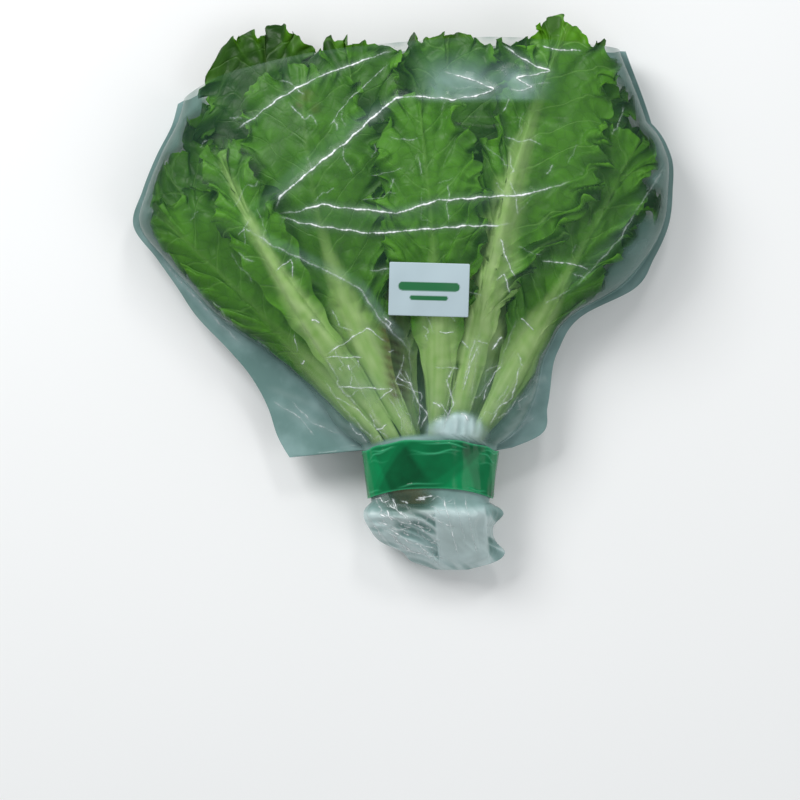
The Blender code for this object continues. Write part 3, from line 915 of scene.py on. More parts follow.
@dataclass
class Leaf:
    """One leaf of the head, over its CAD node of the same name.

    Its foot stands at across on the stump, from -1 to 1, and its midrib bends at knee and ends at tip.
    The layer counts from the resting side; left and right are half widths. The rib stands up by rib_up
    of its height, and its pale colour ends at the share rib_show of its length. A side widens later with
    a larger late, and droops back at the tip by droop.
    """

    name: str
    row: LeafRow
    across: float
    layer: float
    knee: Point
    tip: Point
    left: float
    right: float
    rib_up: float = 0.35
    rib: float = 3.4
    tone: float = 0.5
    rib_show: float = 0.55
    rib_fan: float = 1.0
    late: float = 1.0
    late_left: float = 1.0
    frill_start: float = 74.0
    droop: float = 0.44
    vein_show: float = 0.30
    index: int = 0
    thickness: float = 0.9
    plan: Array = field(default=None, repr=False)

    @property
    def phase(self) -> float:
        """Turn that sets this leaf's waves apart from the others'."""
        return GOLDEN_TURN * self.index

    def midrib(self) -> tuple[Sequence[Point], Array, Array]:
        """Line of the midrib.

        Returns:
            Its control points, fine parameters along it and the lengths at them.
        """
        base = (STUMP_X + STUMP_HALF_WIDTH * self.across, STUMP_TOP_Y + BASE_GAP)
        neck = (NECK_X + NECK_SPREAD * NECK_HALF_WIDTH * self.across, NECK_TOP_Y + NECK_LEAD)
        points = (base, neck, self.knee, self.tip)
        fine = np.linspace(0.0, 1.0, MIDRIB_STEPS)
        place, _ = bezier(points, fine)
        length = np.concatenate(([0.0], np.cumsum(np.linalg.norm(np.diff(place, axis=0), axis=1))))
        return points, fine, length

    def mesh_places(self, total: float) -> tuple[Array, Array]:
        """Length along the midrib and share across the blade at every mesh point.

        Args:
            total: Length of the midrib.

        Returns:
            Lengths, and shares from -1 on the left margin to 1 on the right one. Columns run along the
            whole margin and rows from the midrib out to it.
        """
        half = self.row.columns // 2
        steps = np.arange(-half, half + 1)
        run = 1.0 - np.abs(steps) / half
        stalk_share, last_gap = 0.14, 12.0
        blade = np.clip((run - stalk_share) / (1.0 - stalk_share), 0.0, 1.0)
        blade = blade * (1.32 - 0.32 * blade)
        stalk = BLADE_START * np.clip(run / stalk_share, 0.0, 1.0)
        blade_length = total - BLADE_START
        end_width = 0.8 * (self.left + self.right) / 2.0
        gone = blade * (blade_length + end_width)
        at_rib = stalk + (blade_length - last_gap) * blade
        at_margin = stalk + np.minimum(gone, blade_length)
        around_end = np.clip((gone - blade_length) / end_width, 0.0, 1.0)
        share_at_margin = np.where(steps <= 0, -1.0, 1.0) * (1.0 - around_end)
        t = np.linspace(0.0, 1.0, self.row.rows)[:, None]
        out = 0.35 * t + 0.65 * np.sin(0.5 * math.pi * t)
        return (1.0 - out) * at_rib + out * at_margin, out * share_at_margin

    @staticmethod
    def stalk_half_width(s: Array) -> Array:
        """Half width of the fleshy stalk at the lengths s."""
        return np.interp(s, (0.0, 17.0, 38.0, 58.0), (3.2, 4.2, 5.0, 6.8))

    def blade_half_width(self, s: Array, total: float, full: float, late: float) -> Array:
        """Half width of one side of the leaf.

        Args:
            s: Lengths along the midrib.
            total: Length of the midrib.
            full: Greatest half width.
            late: How late the blade widens.

        Returns:
            Half widths at s.
        """
        widen = smooth((s - 46.0) / (0.70 * total - 46.0)) ** (0.85 * late)
        taper = 1.0 - 0.22 * smooth((s - 0.78 * total) / (0.22 * total))
        stalk = self.stalk_half_width(s) * (1.0 + (self.row.wing - 1.0) * smooth((s - 22.0) / 16.0))
        return stalk + (full * taper - stalk) * widen

    @staticmethod
    def margin_place(s: Array, reach: Array, width: Array, end_width: Array,
                     total: float) -> tuple[Array, ...]:
        """Where points lie against the leaf's margin.

        Args:
            s: Length along the midrib.
            reach: Share across the blade, from -1 to 1.
            width: Half width of the blade.
            end_width: Half width of the blade at its tip.
            total: Length of the midrib.

        Returns:
            Distance to the margin, place along the margin counted from the tip, and the two plan
            parts of the outward direction.
        """
        to_side = (1.0 - np.abs(reach)) * width
        to_end = total - s + 0.0 * to_side
        rounding = 4.0
        both = np.exp(-to_side / rounding) + np.exp(-to_end / rounding)
        nearest = np.clip(rounding * math.log(2.0) - rounding * np.log(both), 0.0, None)
        sideways = (to_end / (to_end + to_side + 0.01)) ** 2
        side = np.tanh(reach / 0.12)
        around = side * (end_width + to_end) * sideways + reach * width * (1.0 - sideways)
        length = np.hypot(sideways, 1.0 - sideways)
        return nearest, around, side * sideways / length, (1.0 - sideways) / length

    def flat_grid(self) -> BladeGrid:
        """Leaf before it is waved.

        Returns:
            Its mesh places against the midrib and the margin.
        """
        points, fine, length = self.midrib()
        total = float(length[-1])
        s, reach = self.mesh_places(total)
        place = np.interp(s, length, fine).ravel()
        spine, tangent = (part.reshape(*s.shape, 2) for part in bezier(points, place))
        side = np.stack((tangent[:, :, 1], -tangent[:, :, 0]), axis=2)
        width, end_width = (np.where(reach < 0.0, self.blade_half_width(at, total, self.left, self.late_left),
                                     self.blade_half_width(at, total, self.right, self.late))
                            for at in (s, total + 0.0 * s))
        opened = smooth((s - OPEN_START) / OPEN_RUN)
        against_margin = self.margin_place(s, reach, width, end_width, total)
        return BladeGrid(total, s, reach, reach * width, spine, tangent, side, opened, *against_margin)

    def ruffles(self, grid: BladeGrid) -> tuple[Array, Array, Array]:
        """Ruffles along the margin: they stand up where they are drawn in, so that the edge turns over.

        Args:
            grid: The flat leaf.

        Returns:
            How far the points move outwards, along the margin and up.
        """
        phase, around = self.phase, grid.around
        drift = 3.4 * np.sin(around / 11.7 + phase) + 2.0 * np.sin(around / 6.1 + 2.0 * phase)
        uneven = 0.75 + 0.35 * np.sin(around / 8.3 + 3.1 * phase) + 0.2 * np.sin(around / 4.1 + phase)
        first = self.frill_start if self.row is LeafRow.FRONT else HIDDEN_FRILL_START
        frilled = smooth((grid.s - first) / FRILL_RUN)
        push, slide, up = 0.0, 0.0, 0.0
        for number, ruffle in enumerate(RUFFLES):
            turn = 2.0 * math.pi * (around + drift / (1.0 + number)) / ruffle.pitch + (1.0 + number) * phase
            gain = frilled * uneven * np.exp(-grid.to_margin / ruffle.depth)
            push = push + ruffle.out * gain * np.cos(turn)
            slide = slide + ruffle.along * gain * np.sin(2.0 * turn + 0.7)
            up = up - ruffle.up * gain * np.cos(turn + 0.9)
        return push, slide, up

    def in_plan(self, grid: BladeGrid, offset: Array, along: Array) -> tuple[Array, Array]:
        """Plan places of the ruffled leaf, held inside the film.

        Args:
            grid: The flat leaf.
            offset: Places across the midrib.
            along: How far the points move along it.

        Returns:
            Places across and along the sleeve.
        """
        margin = smooth((np.abs(grid.reach) - 0.35) / 0.65)
        scallop = 1.0 + 0.08 * grid.opened * margin * np.sin(1.7 * self.wave(grid))
        end = smooth((grid.s - 0.62 * grid.total) / (0.38 * grid.total))
        droop = np.where(grid.reach < 0.0, self.droop, RIGHT_DROOP)
        pull = droop * end * grid.reach ** 2 * np.abs(offset)
        sideways, ahead = (offset * scallop)[:, :, None], (along - pull)[:, :, None]
        plan = grid.spine + grid.side * sideways + grid.tangent * ahead
        x, y = plan[:, :, 0], plan[:, :, 1]
        return Pile.held_in(x, y), y

    def wave(self, grid: BladeGrid) -> Array:
        """Phase of the broad waves that run up both sides of the leaf."""
        return 2.0 * math.pi * grid.s / BROAD_PITCH + self.phase + 1.9 * np.sign(grid.reach)

    def middle_level(self, grid: BladeGrid, x: Array, y: Array) -> tuple[Array, Array]:
        """Level of the leaf in the pile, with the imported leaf's own waves.

        Args:
            grid: The flat leaf.
            x: Plan places across.
            y: Plan places along.

        Returns:
            Levels of its middle, and the room for smaller waves, from 0.2 to 1.
        """
        margin = smooth((np.abs(grid.reach) - 0.35) / 0.65)
        broad = 0.24 * grid.opened * margin * np.sin(self.wave(grid))
        tip_edge = smooth((grid.s - 0.86 * grid.total) / (0.14 * grid.total))
        broad = broad + 0.12 * tip_edge * (1.0 - margin) * np.sin(6.5 * grid.reach + self.phase)
        cup = 0.10 * grid.opened * (0.5 - grid.reach ** 2)
        rank = (self.row.rank + 0.5) / BASE_ROWS
        level = (self.layer + 0.5) / PILE_LAYERS
        away = np.hypot(x - NECK_X, y - NECK_FOOT_Y)
        fraction = rank + (level - rank) * smooth((away - 36.0) / 64.0) + (broad + cup) / PILE_LAYERS
        low, high = Pile.levels(x, y)
        return low + (high - low) * fraction, np.clip((high - low) / 60.0, 0.2, 1.0)

    def faces_of_blade(self, grid: BladeGrid, offset: Array, rib_half: Array, middle: Array,
                       grain: Array) -> tuple[Array, Array]:
        """Upper and lower level of the leaf, with its fleshy rib.

        Args:
            grid: The flat leaf.
            offset: Places across the midrib.
            rib_half: Half width of the rib.
            middle: Levels of the leaf's middle.
            grain: Unevenness of the stalk.

        Returns:
            Upper and lower levels.
        """
        s, total = grid.s, grid.total
        end = smooth((s - 0.62 * total) / (0.38 * total))
        fleshy = np.interp(s, (0.0, 17.0, 38.0, 60.0, 0.6 * total, total),
                           (5.8, 6.4, 5.8, 4.4, self.rib, 0.4))
        fleshy = fleshy * (1.0 - 0.3 * self.across ** 2)
        profile = np.sqrt(np.clip(1.0 - (offset / rib_half) ** 2, 0.0, 1.0))
        shoulder = 1.1 * np.exp(-(offset / (2.1 * rib_half)) ** 2) * smooth((s - 40.0) / 30.0) * (1.0 - end)
        groove = 0.07 * grain * profile * smooth((s - 10.0) / 20.0)
        upward = np.interp(s, (30.0, 80.0), (0.5, self.rib_up))
        upper = middle + self.thickness / 2.0 + (fleshy * profile + groove + shoulder) * upward
        upper = np.minimum(upper, CEILING + 0.02 * (upper - CEILING))
        lower = middle - self.thickness / 2.0 - (fleshy * profile + groove) * (1.0 - upward)
        lower = np.maximum(lower, LOWEST)
        return np.maximum(upper, lower + 0.5 * self.thickness), lower

    def shape(self) -> tuple[Array, Array, dict[str, Array]]:
        """Form of the leaf.

        Returns:
            Its upper and lower point grids and its finish masks.
        """
        grid = self.flat_grid()
        s, total, opened, to_margin = grid.s, grid.total, grid.opened, grid.to_margin
        push, slide, ruffled = self.ruffles(grid)
        offset = grid.offset + push * grid.out_x + slide * grid.out_y
        x, y = self.in_plan(grid, offset, push * grid.out_y - slide * grid.out_x)
        middle, room = self.middle_level(grid, x, y)

        # Blisters between the veins and folds that fan from the neck
        rib_half = np.interp(s, (BLADE_START, 0.6 * total, total), (6.8, 3.0, 0.8))
        rib_half = np.where(s < BLADE_START, self.stalk_half_width(s), rib_half * (0.6 + 0.4 * self.rib_fan))
        on_rib = np.exp(-(offset / (0.9 * rib_half)) ** 2)
        blister = np.abs(Crumple(19.0, 100 + self.index, 10)(grid.offset, s + 0.25 * np.abs(grid.offset)))
        small = Crumple(8.0, 200 + self.index, 10)(grid.offset, s)
        fold = Crumple(26.0, 300 + self.index, 8)(1.6 * grid.offset, 0.45 * s)
        swell = 1.5 * blister - 0.6 + 0.45 * small
        surface = (1.1 * swell + 1.5 * fold) * opened * (1.0 - on_rib)
        surface = surface * (1.0 - 0.5 * np.exp(-to_margin / 3.0))
        middle = middle + room * (ruffled + surface)
        grain = 1.3 * Crumple(3.6, 400 + self.index, 8)(offset, 0.06 * s)
        grain = grain + 0.4 * np.sin(0.8 * offset + 2.0 * self.phase)
        upper, lower = self.faces_of_blade(grid, offset, rib_half, middle, grain)

        fan = (3.0 + 0.8 * rib_half + 11.0 * (1.0 - smooth((s - 54.0) / 90.0))) * self.rib_fan
        off_rib = smooth((np.abs(grid.offset) - 0.3 * rib_half) / fan + 0.10 * small)
        fade = smooth((s - self.rib_show * total) / (0.35 * total))
        # Painted highlight: a thin light line along the rim of each leaf
        rim_highlight = 0.6 * np.exp(-to_margin / 0.8)
        masks = {
            "green": np.clip(off_rib * smooth((s - 16.0) / 34.0) + 0.92 * fade, 0.0, 1.0),
            # Frill colour near the margin, plus painted light on the ruffle crests and the painted rim
            # highlight
            "edge": opened * np.clip(np.exp(-to_margin / 5.0) * (0.5 + 0.3 * ruffled) + rim_highlight, 0.0, 1.0),
            # Painted shade: deep green in the hollows of the ruffles near the margin
            "pocket_shade": opened * np.exp(-to_margin / 10.0) * smooth(-0.45 * ruffled),
            # Painted light: height of blisters and ruffle crests, which lightens the blade colour
            "swell": swell * opened + 0.75 * ruffled,
            "streak": np.clip(0.45 + 0.13 * grain + 0.25 * small, 0.0, 1.0),
            "wither": self.wither(x, y),
            "tone": np.full_like(s, self.tone),
            "veiny": np.full_like(s, self.vein_show),
            "rib_across": grid.offset * MM,
            "rib_along": s * MM,
        }
        self.plan = np.stack((x, y, upper), axis=2)
        return np.stack((x, y, upper), axis=2), np.stack((x, y, lower), axis=2), masks

    @staticmethod
    def faces(rows: int, columns: int) -> Array:
        """Quads of the closed blade, its two halves joined along the midrib.

        Args:
            rows: Mesh rows from the midrib to the margin.
            columns: Mesh columns along the margin.

        Returns:
            One row of four vertex numbers for each face, the lower grid numbered after the upper one.
        """
        size, half = rows * columns, columns // 2
        numbers = np.arange(size).reshape(rows, columns)
        rim = np.concatenate((numbers[:, -1], numbers[-1, -2::-1], numbers[-2::-1, 0]))
        edge = np.stack((rim[:-1], rim[:-1] + size, rim[1:] + size, rim[1:]), axis=1)
        quads = np.concatenate((grid_faces(rows, columns), grid_faces(rows, columns, size, True), edge))
        joined = np.arange(2 * size)
        for first in (0, size):
            joined[first + half + 1:first + columns] = np.arange(first + half - 1, first - 1, -1)
        return joined[quads]

    def wither(self, x: Array, y: Array) -> Array:
        """Withering of the leaf: one wilted stalk and a few bruised tips.

        Args:
            x: Plan places across.
            y: Plan places along.

        Returns:
            Browned share at the points.
        """
        if self.name == "leaf_left_front":
            spots = BRUISES + tuple((px - 4.0, py, 3.8, 0.95) for px, py in WILTED_STALK)
        elif self.row is LeafRow.FRONT:
            return 0.0 * x
        else:
            spots = tuple((px, py, 5.5, 1.0) for px, py in WILTED_STALK)
        brown = np.zeros_like(x)
        for px, py, size, strength in spots:
            brown = np.maximum(brown, strength * np.exp(-((x - px) ** 2 + (y - py) ** 2) / size ** 2))
        return brown * (0.8 + 0.2 * np.sin(0.5 * x + 1.3 * y))

    def build(self, material: bpy.types.Material) -> bpy.types.Object:
        """Mesh piece of the leaf.

        Args:
            material: Finish of all leaves.

        Returns:
            The piece.
        """
        upper, lower, masks = self.shape()
        rows, columns = upper.shape[:2]
        points = np.concatenate((upper.reshape(-1, 3), lower.reshape(-1, 3)))
        faces = self.faces(rows, columns)
        used, numbers = np.unique(faces, return_inverse=True)
        doubled = {label: np.tile(np.broadcast_to(values, (rows, columns)).ravel(), 2)[used]
                   for label, values in masks.items()}
        joined = numbers.reshape(faces.shape)
        piece = build_piece(f"{self.name}_blade", points[used], joined, doubled, material)
        stand_for(piece, "leaf", self.name)
        return piece


class LeafHead:
    """All leaves of the head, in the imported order."""

    leaves: tuple[Leaf, ...] = (
        Leaf("leaf_left_low", LeafRow.FRONT, -0.76, 4, (-84.0, -4.0), (-139.0, 48.0), 18.0, 38.0,
             tone=0.78, rib_show=0.2),
        Leaf("leaf_left_fold", LeafRow.FRONT, -0.44, 6, (-68.0, -12.0), (-104.0, 84.0), 15.0, 17.0, 0.8, 4.5,
             tone=0.8, rib_show=0.72, vein_show=0.4, late=3.2, late_left=2.8, frill_start=132.0),
        Leaf("leaf_left_front", LeafRow.FRONT, -0.14, 5, (-54.0, -14.0), (-57.0, 128.0), 42.0, 44.0,
             tone=0.6, rib_show=0.36),
        Leaf("leaf_centre_front", LeafRow.FRONT, 0.165, 6, (20.0, 0.0), (8.0, 113.0), 28.0, 30.0, 0.6, 4.0,
             tone=0.92, rib_show=0.3),
        Leaf("leaf_big_back", LeafRow.FRONT, 0.47, 5, (40.0, 34.0), (92.0, 152.0), 20.0, 46.0, 1.0, 6.0,
             tone=0.75, rib_show=0.56, rib_fan=1.9, late=2.0, vein_show=0.6),
        Leaf("leaf_right_front", LeafRow.FRONT, 0.78, 4, (80.0, -8.0), (133.0, 90.0), 32.0, 20.0, 0.6, 3.6,
             tone=0.7, rib_show=0.34),
        Leaf("leaf_far_left", LeafRow.MIDDLE, -0.75, 3, (-88.0, 6.0), (-138.0, 76.0), 24.0, 42.0,
             tone=0.55, rib_show=0.25),
        Leaf("leaf_top_left", LeafRow.MIDDLE, -0.45, 2, (-72.0, 22.0), (-79.0, 150.0), 45.0, 35.0,
             tone=0.0, rib_show=0.3, droop=0.95, vein_show=0.12),
        Leaf("leaf_top_centre", LeafRow.MIDDLE, -0.157, 3, (-24.0, 20.0), (-31.0, 143.0), 30.0, 36.0,
             tone=0.45, rib_show=0.3),
        Leaf("leaf_top_middle", LeafRow.MIDDLE, 0.157, 2, (22.0, 20.0), (25.0, 148.0), 36.0, 40.0,
             tone=0.3, rib_show=0.3),
        Leaf("leaf_right_curl", LeafRow.MIDDLE, 0.47, 3, (68.0, 18.0), (112.0, 124.0), 39.0, 28.0,
             tone=0.42, rib_show=0.3),
        Leaf("leaf_far_right", LeafRow.MIDDLE, 0.78, 2, (76.0, -9.0), (140.0, 60.0), 32.0, 10.0,
             tone=0.35, rib_show=0.3),
        # Painted shade: the back row takes the darkest tone, so the gaps between the front leaves read dark
        Leaf("leaf_back_1", LeafRow.BACK, -0.7, 1, (-66.0, -26.0), (-108.0, 26.0), 12.0, 26.0, tone=0.0),
        Leaf("leaf_back_2", LeafRow.BACK, -0.35, 0, (-58.0, 8.0), (-108.0, 112.0), 36.0, 38.0, tone=0.0),
        Leaf("leaf_back_3", LeafRow.BACK, 0.0, 1, (2.0, 20.0), (-6.0, 136.0), 40.0, 40.0, tone=0.0),
        Leaf("leaf_back_4", LeafRow.BACK, 0.35, 0, (52.0, 20.0), (76.0, 146.0), 38.0, 42.0, tone=0.0),
        Leaf("leaf_back_5", LeafRow.BACK, 0.7, 1, (82.0, -2.0), (130.0, 100.0), 30.0, 20.0, tone=0.0),
    )

    def build(self) -> list[bpy.types.Object]:
        """Mesh pieces of all leaves.

        Returns:
            The pieces, one for each leaf.
        """
        material = LeafFinish().build()
        made = []
        for index, leaf in enumerate(self.leaves):
            leaf.index = index
            made.append(leaf.build(material))
        return made

    def maps(self, low: float = -170.0, high: float = 170.0, cell: float = 2.0) -> tuple[PlanMap, PlanMap]:
        """Plan maps of the leaves.

        Args:
            low: Least plan place of the maps, across and along.
            high: Greatest plan place.
            cell: Width of a cell.

        Returns:
            How far leaves back the film, from 0 to 1, and the level of the highest leaf.
        """
        count = int((high - low) / cell)
        seen, top = np.zeros((count, count)), np.zeros((count, count))
        for leaf in self.leaves:
            between = 0.5 * (leaf.plan[:, 1:] + leaf.plan[:, :-1])
            for plan in (leaf.plan, between):
                i = np.clip(((plan[:, :, 0] - low) / cell).astype(int), 0, count - 1)
                j = np.clip(((plan[:, :, 1] - low) / cell).astype(int), 0, count - 1)
                seen[i, j] = 1.0
                np.maximum.at(top, (i, j), plan[:, :, 2])
        around = ((1, 0), (-1, 0), (0, 1), (0, -1))
        grown = np.maximum.reduce([seen] + [np.roll(seen, shift, axis=(0, 1)) for shift in around])
        for _ in range(2):
            grown = np.minimum.reduce([grown] + [np.roll(grown, shift, axis=(0, 1)) for shift in around])
        grown = (2.0 * grown + sum(np.roll(grown, shift, axis=(0, 1)) for shift in around)) / 6.0
        top = np.maximum.reduce([top] + [np.roll(top, shift, axis=(0, 1)) for shift in around])
        return PlanMap(grown, low, cell), PlanMap(top, low, cell)


@dataclass(frozen=True)
class Crease:
    """Sharp fold line in the film, seen from above."""

    points: tuple[Point, ...]
    width: float = 1.0
    rise: float = 0.9
    # Strength of the painted highlight along the crest
    white: float = 0.8

    def distance(self, x: Array, y: Array) -> tuple[Array, Array]:
        """Where plan points lie against the line.

        Args:
            x: Plan places across.
            y: Plan places along.

        Returns:
            Distance from the points to the line, and their place along it from 0 to 1.
        """
        best = np.full(x.shape, np.inf)
        where = np.zeros(x.shape)
        lengths = [math.dist(a, b) for a, b in zip(self.points, self.points[1:])]
        total, done = sum(lengths), 0.0
        for (ax, ay), (bx, by), length in zip(self.points, self.points[1:], lengths):
            dx, dy = (bx - ax) / length, (by - ay) / length
            t = np.clip((x - ax) * dx + (y - ay) * dy, 0.0, length)
            gap = np.hypot(x - ax - t * dx, y - ay - t * dy)
            closer = gap < best
            best = np.where(closer, gap, best)
            where = np.where(closer, (done + t) / total, where)
            done += length
        return best, where

    def trace(self, step: float, rng: np.random.Generator) -> tuple[Array, Array, Array]:
        """Walk along the line, a little uneven.

        Args:
            step: Length of a step.
            rng: Source of the unevenness.

        Returns:
            Points, tangents and shares of the line's length.
        """
        corner = np.asarray(self.points)
        length = np.concatenate(([0.0], np.cumsum(np.linalg.norm(np.diff(corner, axis=0), axis=1))))
        places = np.linspace(0.0, length[-1], max(int(length[-1] / step), 6))
        line = np.stack([np.interp(places, length, corner[:, k]) for k in (0, 1)], axis=1)
        line[1:-1] = 0.25 * line[:-2] + 0.5 * line[1:-1] + 0.25 * line[2:]
        tangent = np.gradient(line, axis=0)
        tangent /= np.linalg.norm(tangent, axis=1)[:, None] + 1e-9
        turn = rng.uniform(0.0, 6.0, 3)
        wobble = (0.16 * np.sin(places / 1.7 + turn[0]) + 0.10 * np.sin(places / 0.7 + turn[1])
                  + 0.35 * np.sin(places / 6.1 + turn[2]) * np.sin(places / 2.9 + turn[1]))
        wobble = wobble * smooth(places / 4.0) * smooth((length[-1] - places) / 4.0)
        line = line + wobble[:, None] * np.stack((-tangent[:, 1], tangent[:, 0]), axis=1)
        return line, tangent, places / length[-1]


# Fold lines of the film: points, width, rise and strength of the painted highlight along each crest
CREASES = (
    Crease(((-94.0, 91.0), (-81.0, 99.0), (-70.0, 108.0), (-60.0, 114.0), (-41.0, 123.0), (-24.0, 129.0),
            (-4.0, 136.0)), 0.9, 0.9, 0.8),
    Crease(((-7.0, 129.0), (-30.0, 108.0), (-42.0, 92.0)), 0.45, 0.5, 0.4),
    Crease(((9.0, 110.0), (-4.0, 109.0), (-20.0, 95.0), (-33.0, 83.0), (-52.0, 68.0), (-68.0, 54.0),
            (-71.0, 46.0)), 1.1, 1.2, 1.0),
    Crease(((-71.0, 45.0), (-57.0, 46.0), (-45.0, 50.0), (-33.0, 48.0), (-4.0, 45.0), (19.0, 52.0),
            (32.0, 53.0), (65.0, 55.0), (85.0, 60.0), (94.0, 64.0)), 1.0, 1.2, 0.95),
    Crease(((-70.0, 44.0), (-58.0, 40.0), (-33.0, 36.0), (-20.0, 34.0), (-2.0, 35.0), (32.0, 38.0),
            (48.0, 38.0), (62.0, 40.0)), 0.9, 1.0, 0.85),
    Crease(((54.0, 139.0), (61.0, 134.0), (71.0, 128.0), (81.0, 124.0), (62.0, 120.0), (71.0, 115.0),
            (65.0, 113.0), (57.0, 114.0)), 0.9, 0.8, 0.9),
    Crease(((21.0, 124.0), (37.0, 119.0), (50.0, 114.0), (45.0, 111.0), (27.0, 108.0), (-1.0, 110.0)),
           0.9, 0.8, 0.9),
    Crease(((76.0, 138.5), (85.0, 136.0), (99.0, 136.0)), 0.7, 0.6, 0.8),
    Crease(((146.0, 73.0), (132.0, 52.0), (120.0, 32.0), (104.0, 14.0), (93.0, 3.0)), 0.8, 0.8, 0.22),
    Crease(((53.0, 32.0), (57.0, 19.0), (62.0, 10.0)), 0.8, 0.8, 0.6),
    Crease(((76.0, 19.0), (97.0, 17.0), (103.0, 14.0)), 0.7, 0.6, 0.55),
    Crease(((51.0, 8.0), (55.0, 12.0), (59.0, 1.0)), 0.8, 0.7, 0.6),
    Crease(((-89.0, 39.0), (-72.0, 27.0), (-58.0, 21.0), (-38.0, 11.0), (-24.0, 4.0), (-14.0, -12.0),
            (-2.0, -24.0), (8.0, -35.0)), 1.2, 1.0, 0.3),
    Crease(((-71.0, 13.0), (-62.0, 20.0), (-61.0, 9.0)), 0.6, 0.5, 0.6),
    Crease(((-137.0, 23.0), (-125.0, 8.0), (-114.0, -3.0), (-102.0, -16.0), (-89.0, -28.0)), 0.9, 0.5, 0.35),
    Crease(((-44.0, -33.0), (-20.0, -18.0), (-9.0, -26.0)), 0.7, 0.7, 0.6),
    Crease(((-44.0, -34.0), (-22.0, -34.0)), 0.7, 0.6, 0.55),
    Crease(((-39.0, -50.0), (-6.0, -52.0), (-16.0, -59.0)), 0.7, 0.7, 0.6),
    Crease(((-24.0, -80.0), (-44.0, -72.0), (-66.0, -66.0)), 0.8, 0.5, 0.40),
    Crease(((-26.0, -76.0), (-52.0, -60.0), (-78.0, -50.0)), 0.8, 0.5, 0.30),
    Crease(((-50.0, -78.0), (-58.0, -68.0), (-74.0, -58.0)), 0.7, 0.4, 0.35),
    Crease(((56.0, -76.0), (64.0, -70.0), (74.0, -67.0)), 0.8, 0.5, 0.60),
    Crease(((58.0, -72.0), (68.0, -64.0), (64.0, -60.0), (76.0, -56.0)), 0.7, 0.5, 0.50),
    Crease(((60.0, -62.0), (70.0, -46.0), (82.0, -24.0)), 0.8, 0.5, 0.30),
    Crease(((22.0, -110.0), (26.0, -128.0), (31.0, -146.0)), 0.8, 0.6, 0.60),
    Crease(((34.0, -110.0), (37.0, -128.0), (42.0, -146.0)), 0.7, 0.4, 0.50),
    Crease(((28.0, -112.0), (32.0, -128.0), (35.0, -140.0)), 0.6, 0.3, 0.40),
    Crease(((-10.0, -128.0), (4.0, -138.0), (20.0, -141.0)), 0.7, 0.6, 0.70),
    Crease(((-14.0, -120.0), (0.0, -126.0), (16.0, -130.0)), 0.7, 0.6, 0.60),
    Crease(((-6.0, -136.0), (8.0, -144.0), (24.0, -147.0)), 0.7, 0.6, 0.60),
)


# Painted sheens: broad soft white reflections laid on the film along these lines, with width and strength
SHEENS = (
    Crease(((-89.0, 41.0), (-72.0, 29.0), (-58.0, 23.0), (-38.0, 13.0), (-24.0, 6.0), (-12.0, -12.0),
            (0.0, -24.0), (10.0, -35.0)), 3.4, 0.0, 0.30),
    Crease(((2.0, 112.0), (-24.0, 97.0), (-56.0, 71.0), (-74.0, 54.0), (-96.0, 36.0)), 4.0, 0.0, 0.16),
    Crease(((148.0, 75.0), (131.0, 53.0), (118.0, 33.0), (102.0, 15.0), (80.0, -4.0)), 4.2, 0.0, 0.14),
    Crease(((-137.0, 25.0), (-124.0, 9.0), (-112.0, -3.0), (-100.0, -16.0), (-80.0, -36.0)), 4.0, 0.0, 0.22),
    Crease(((-68.0, 42.0), (-30.0, 42.0), (10.0, 45.0), (60.0, 48.0)), 5.5, 0.0, 0.10),
    Crease(((-40.0, -30.0), (-26.0, -44.0), (-12.0, -58.0)), 7.0, 0.0, 0.14),
    Crease(((36.0, -20.0), (44.0, -40.0), (40.0, -60.0)), 6.0, 0.0, 0.14),
)


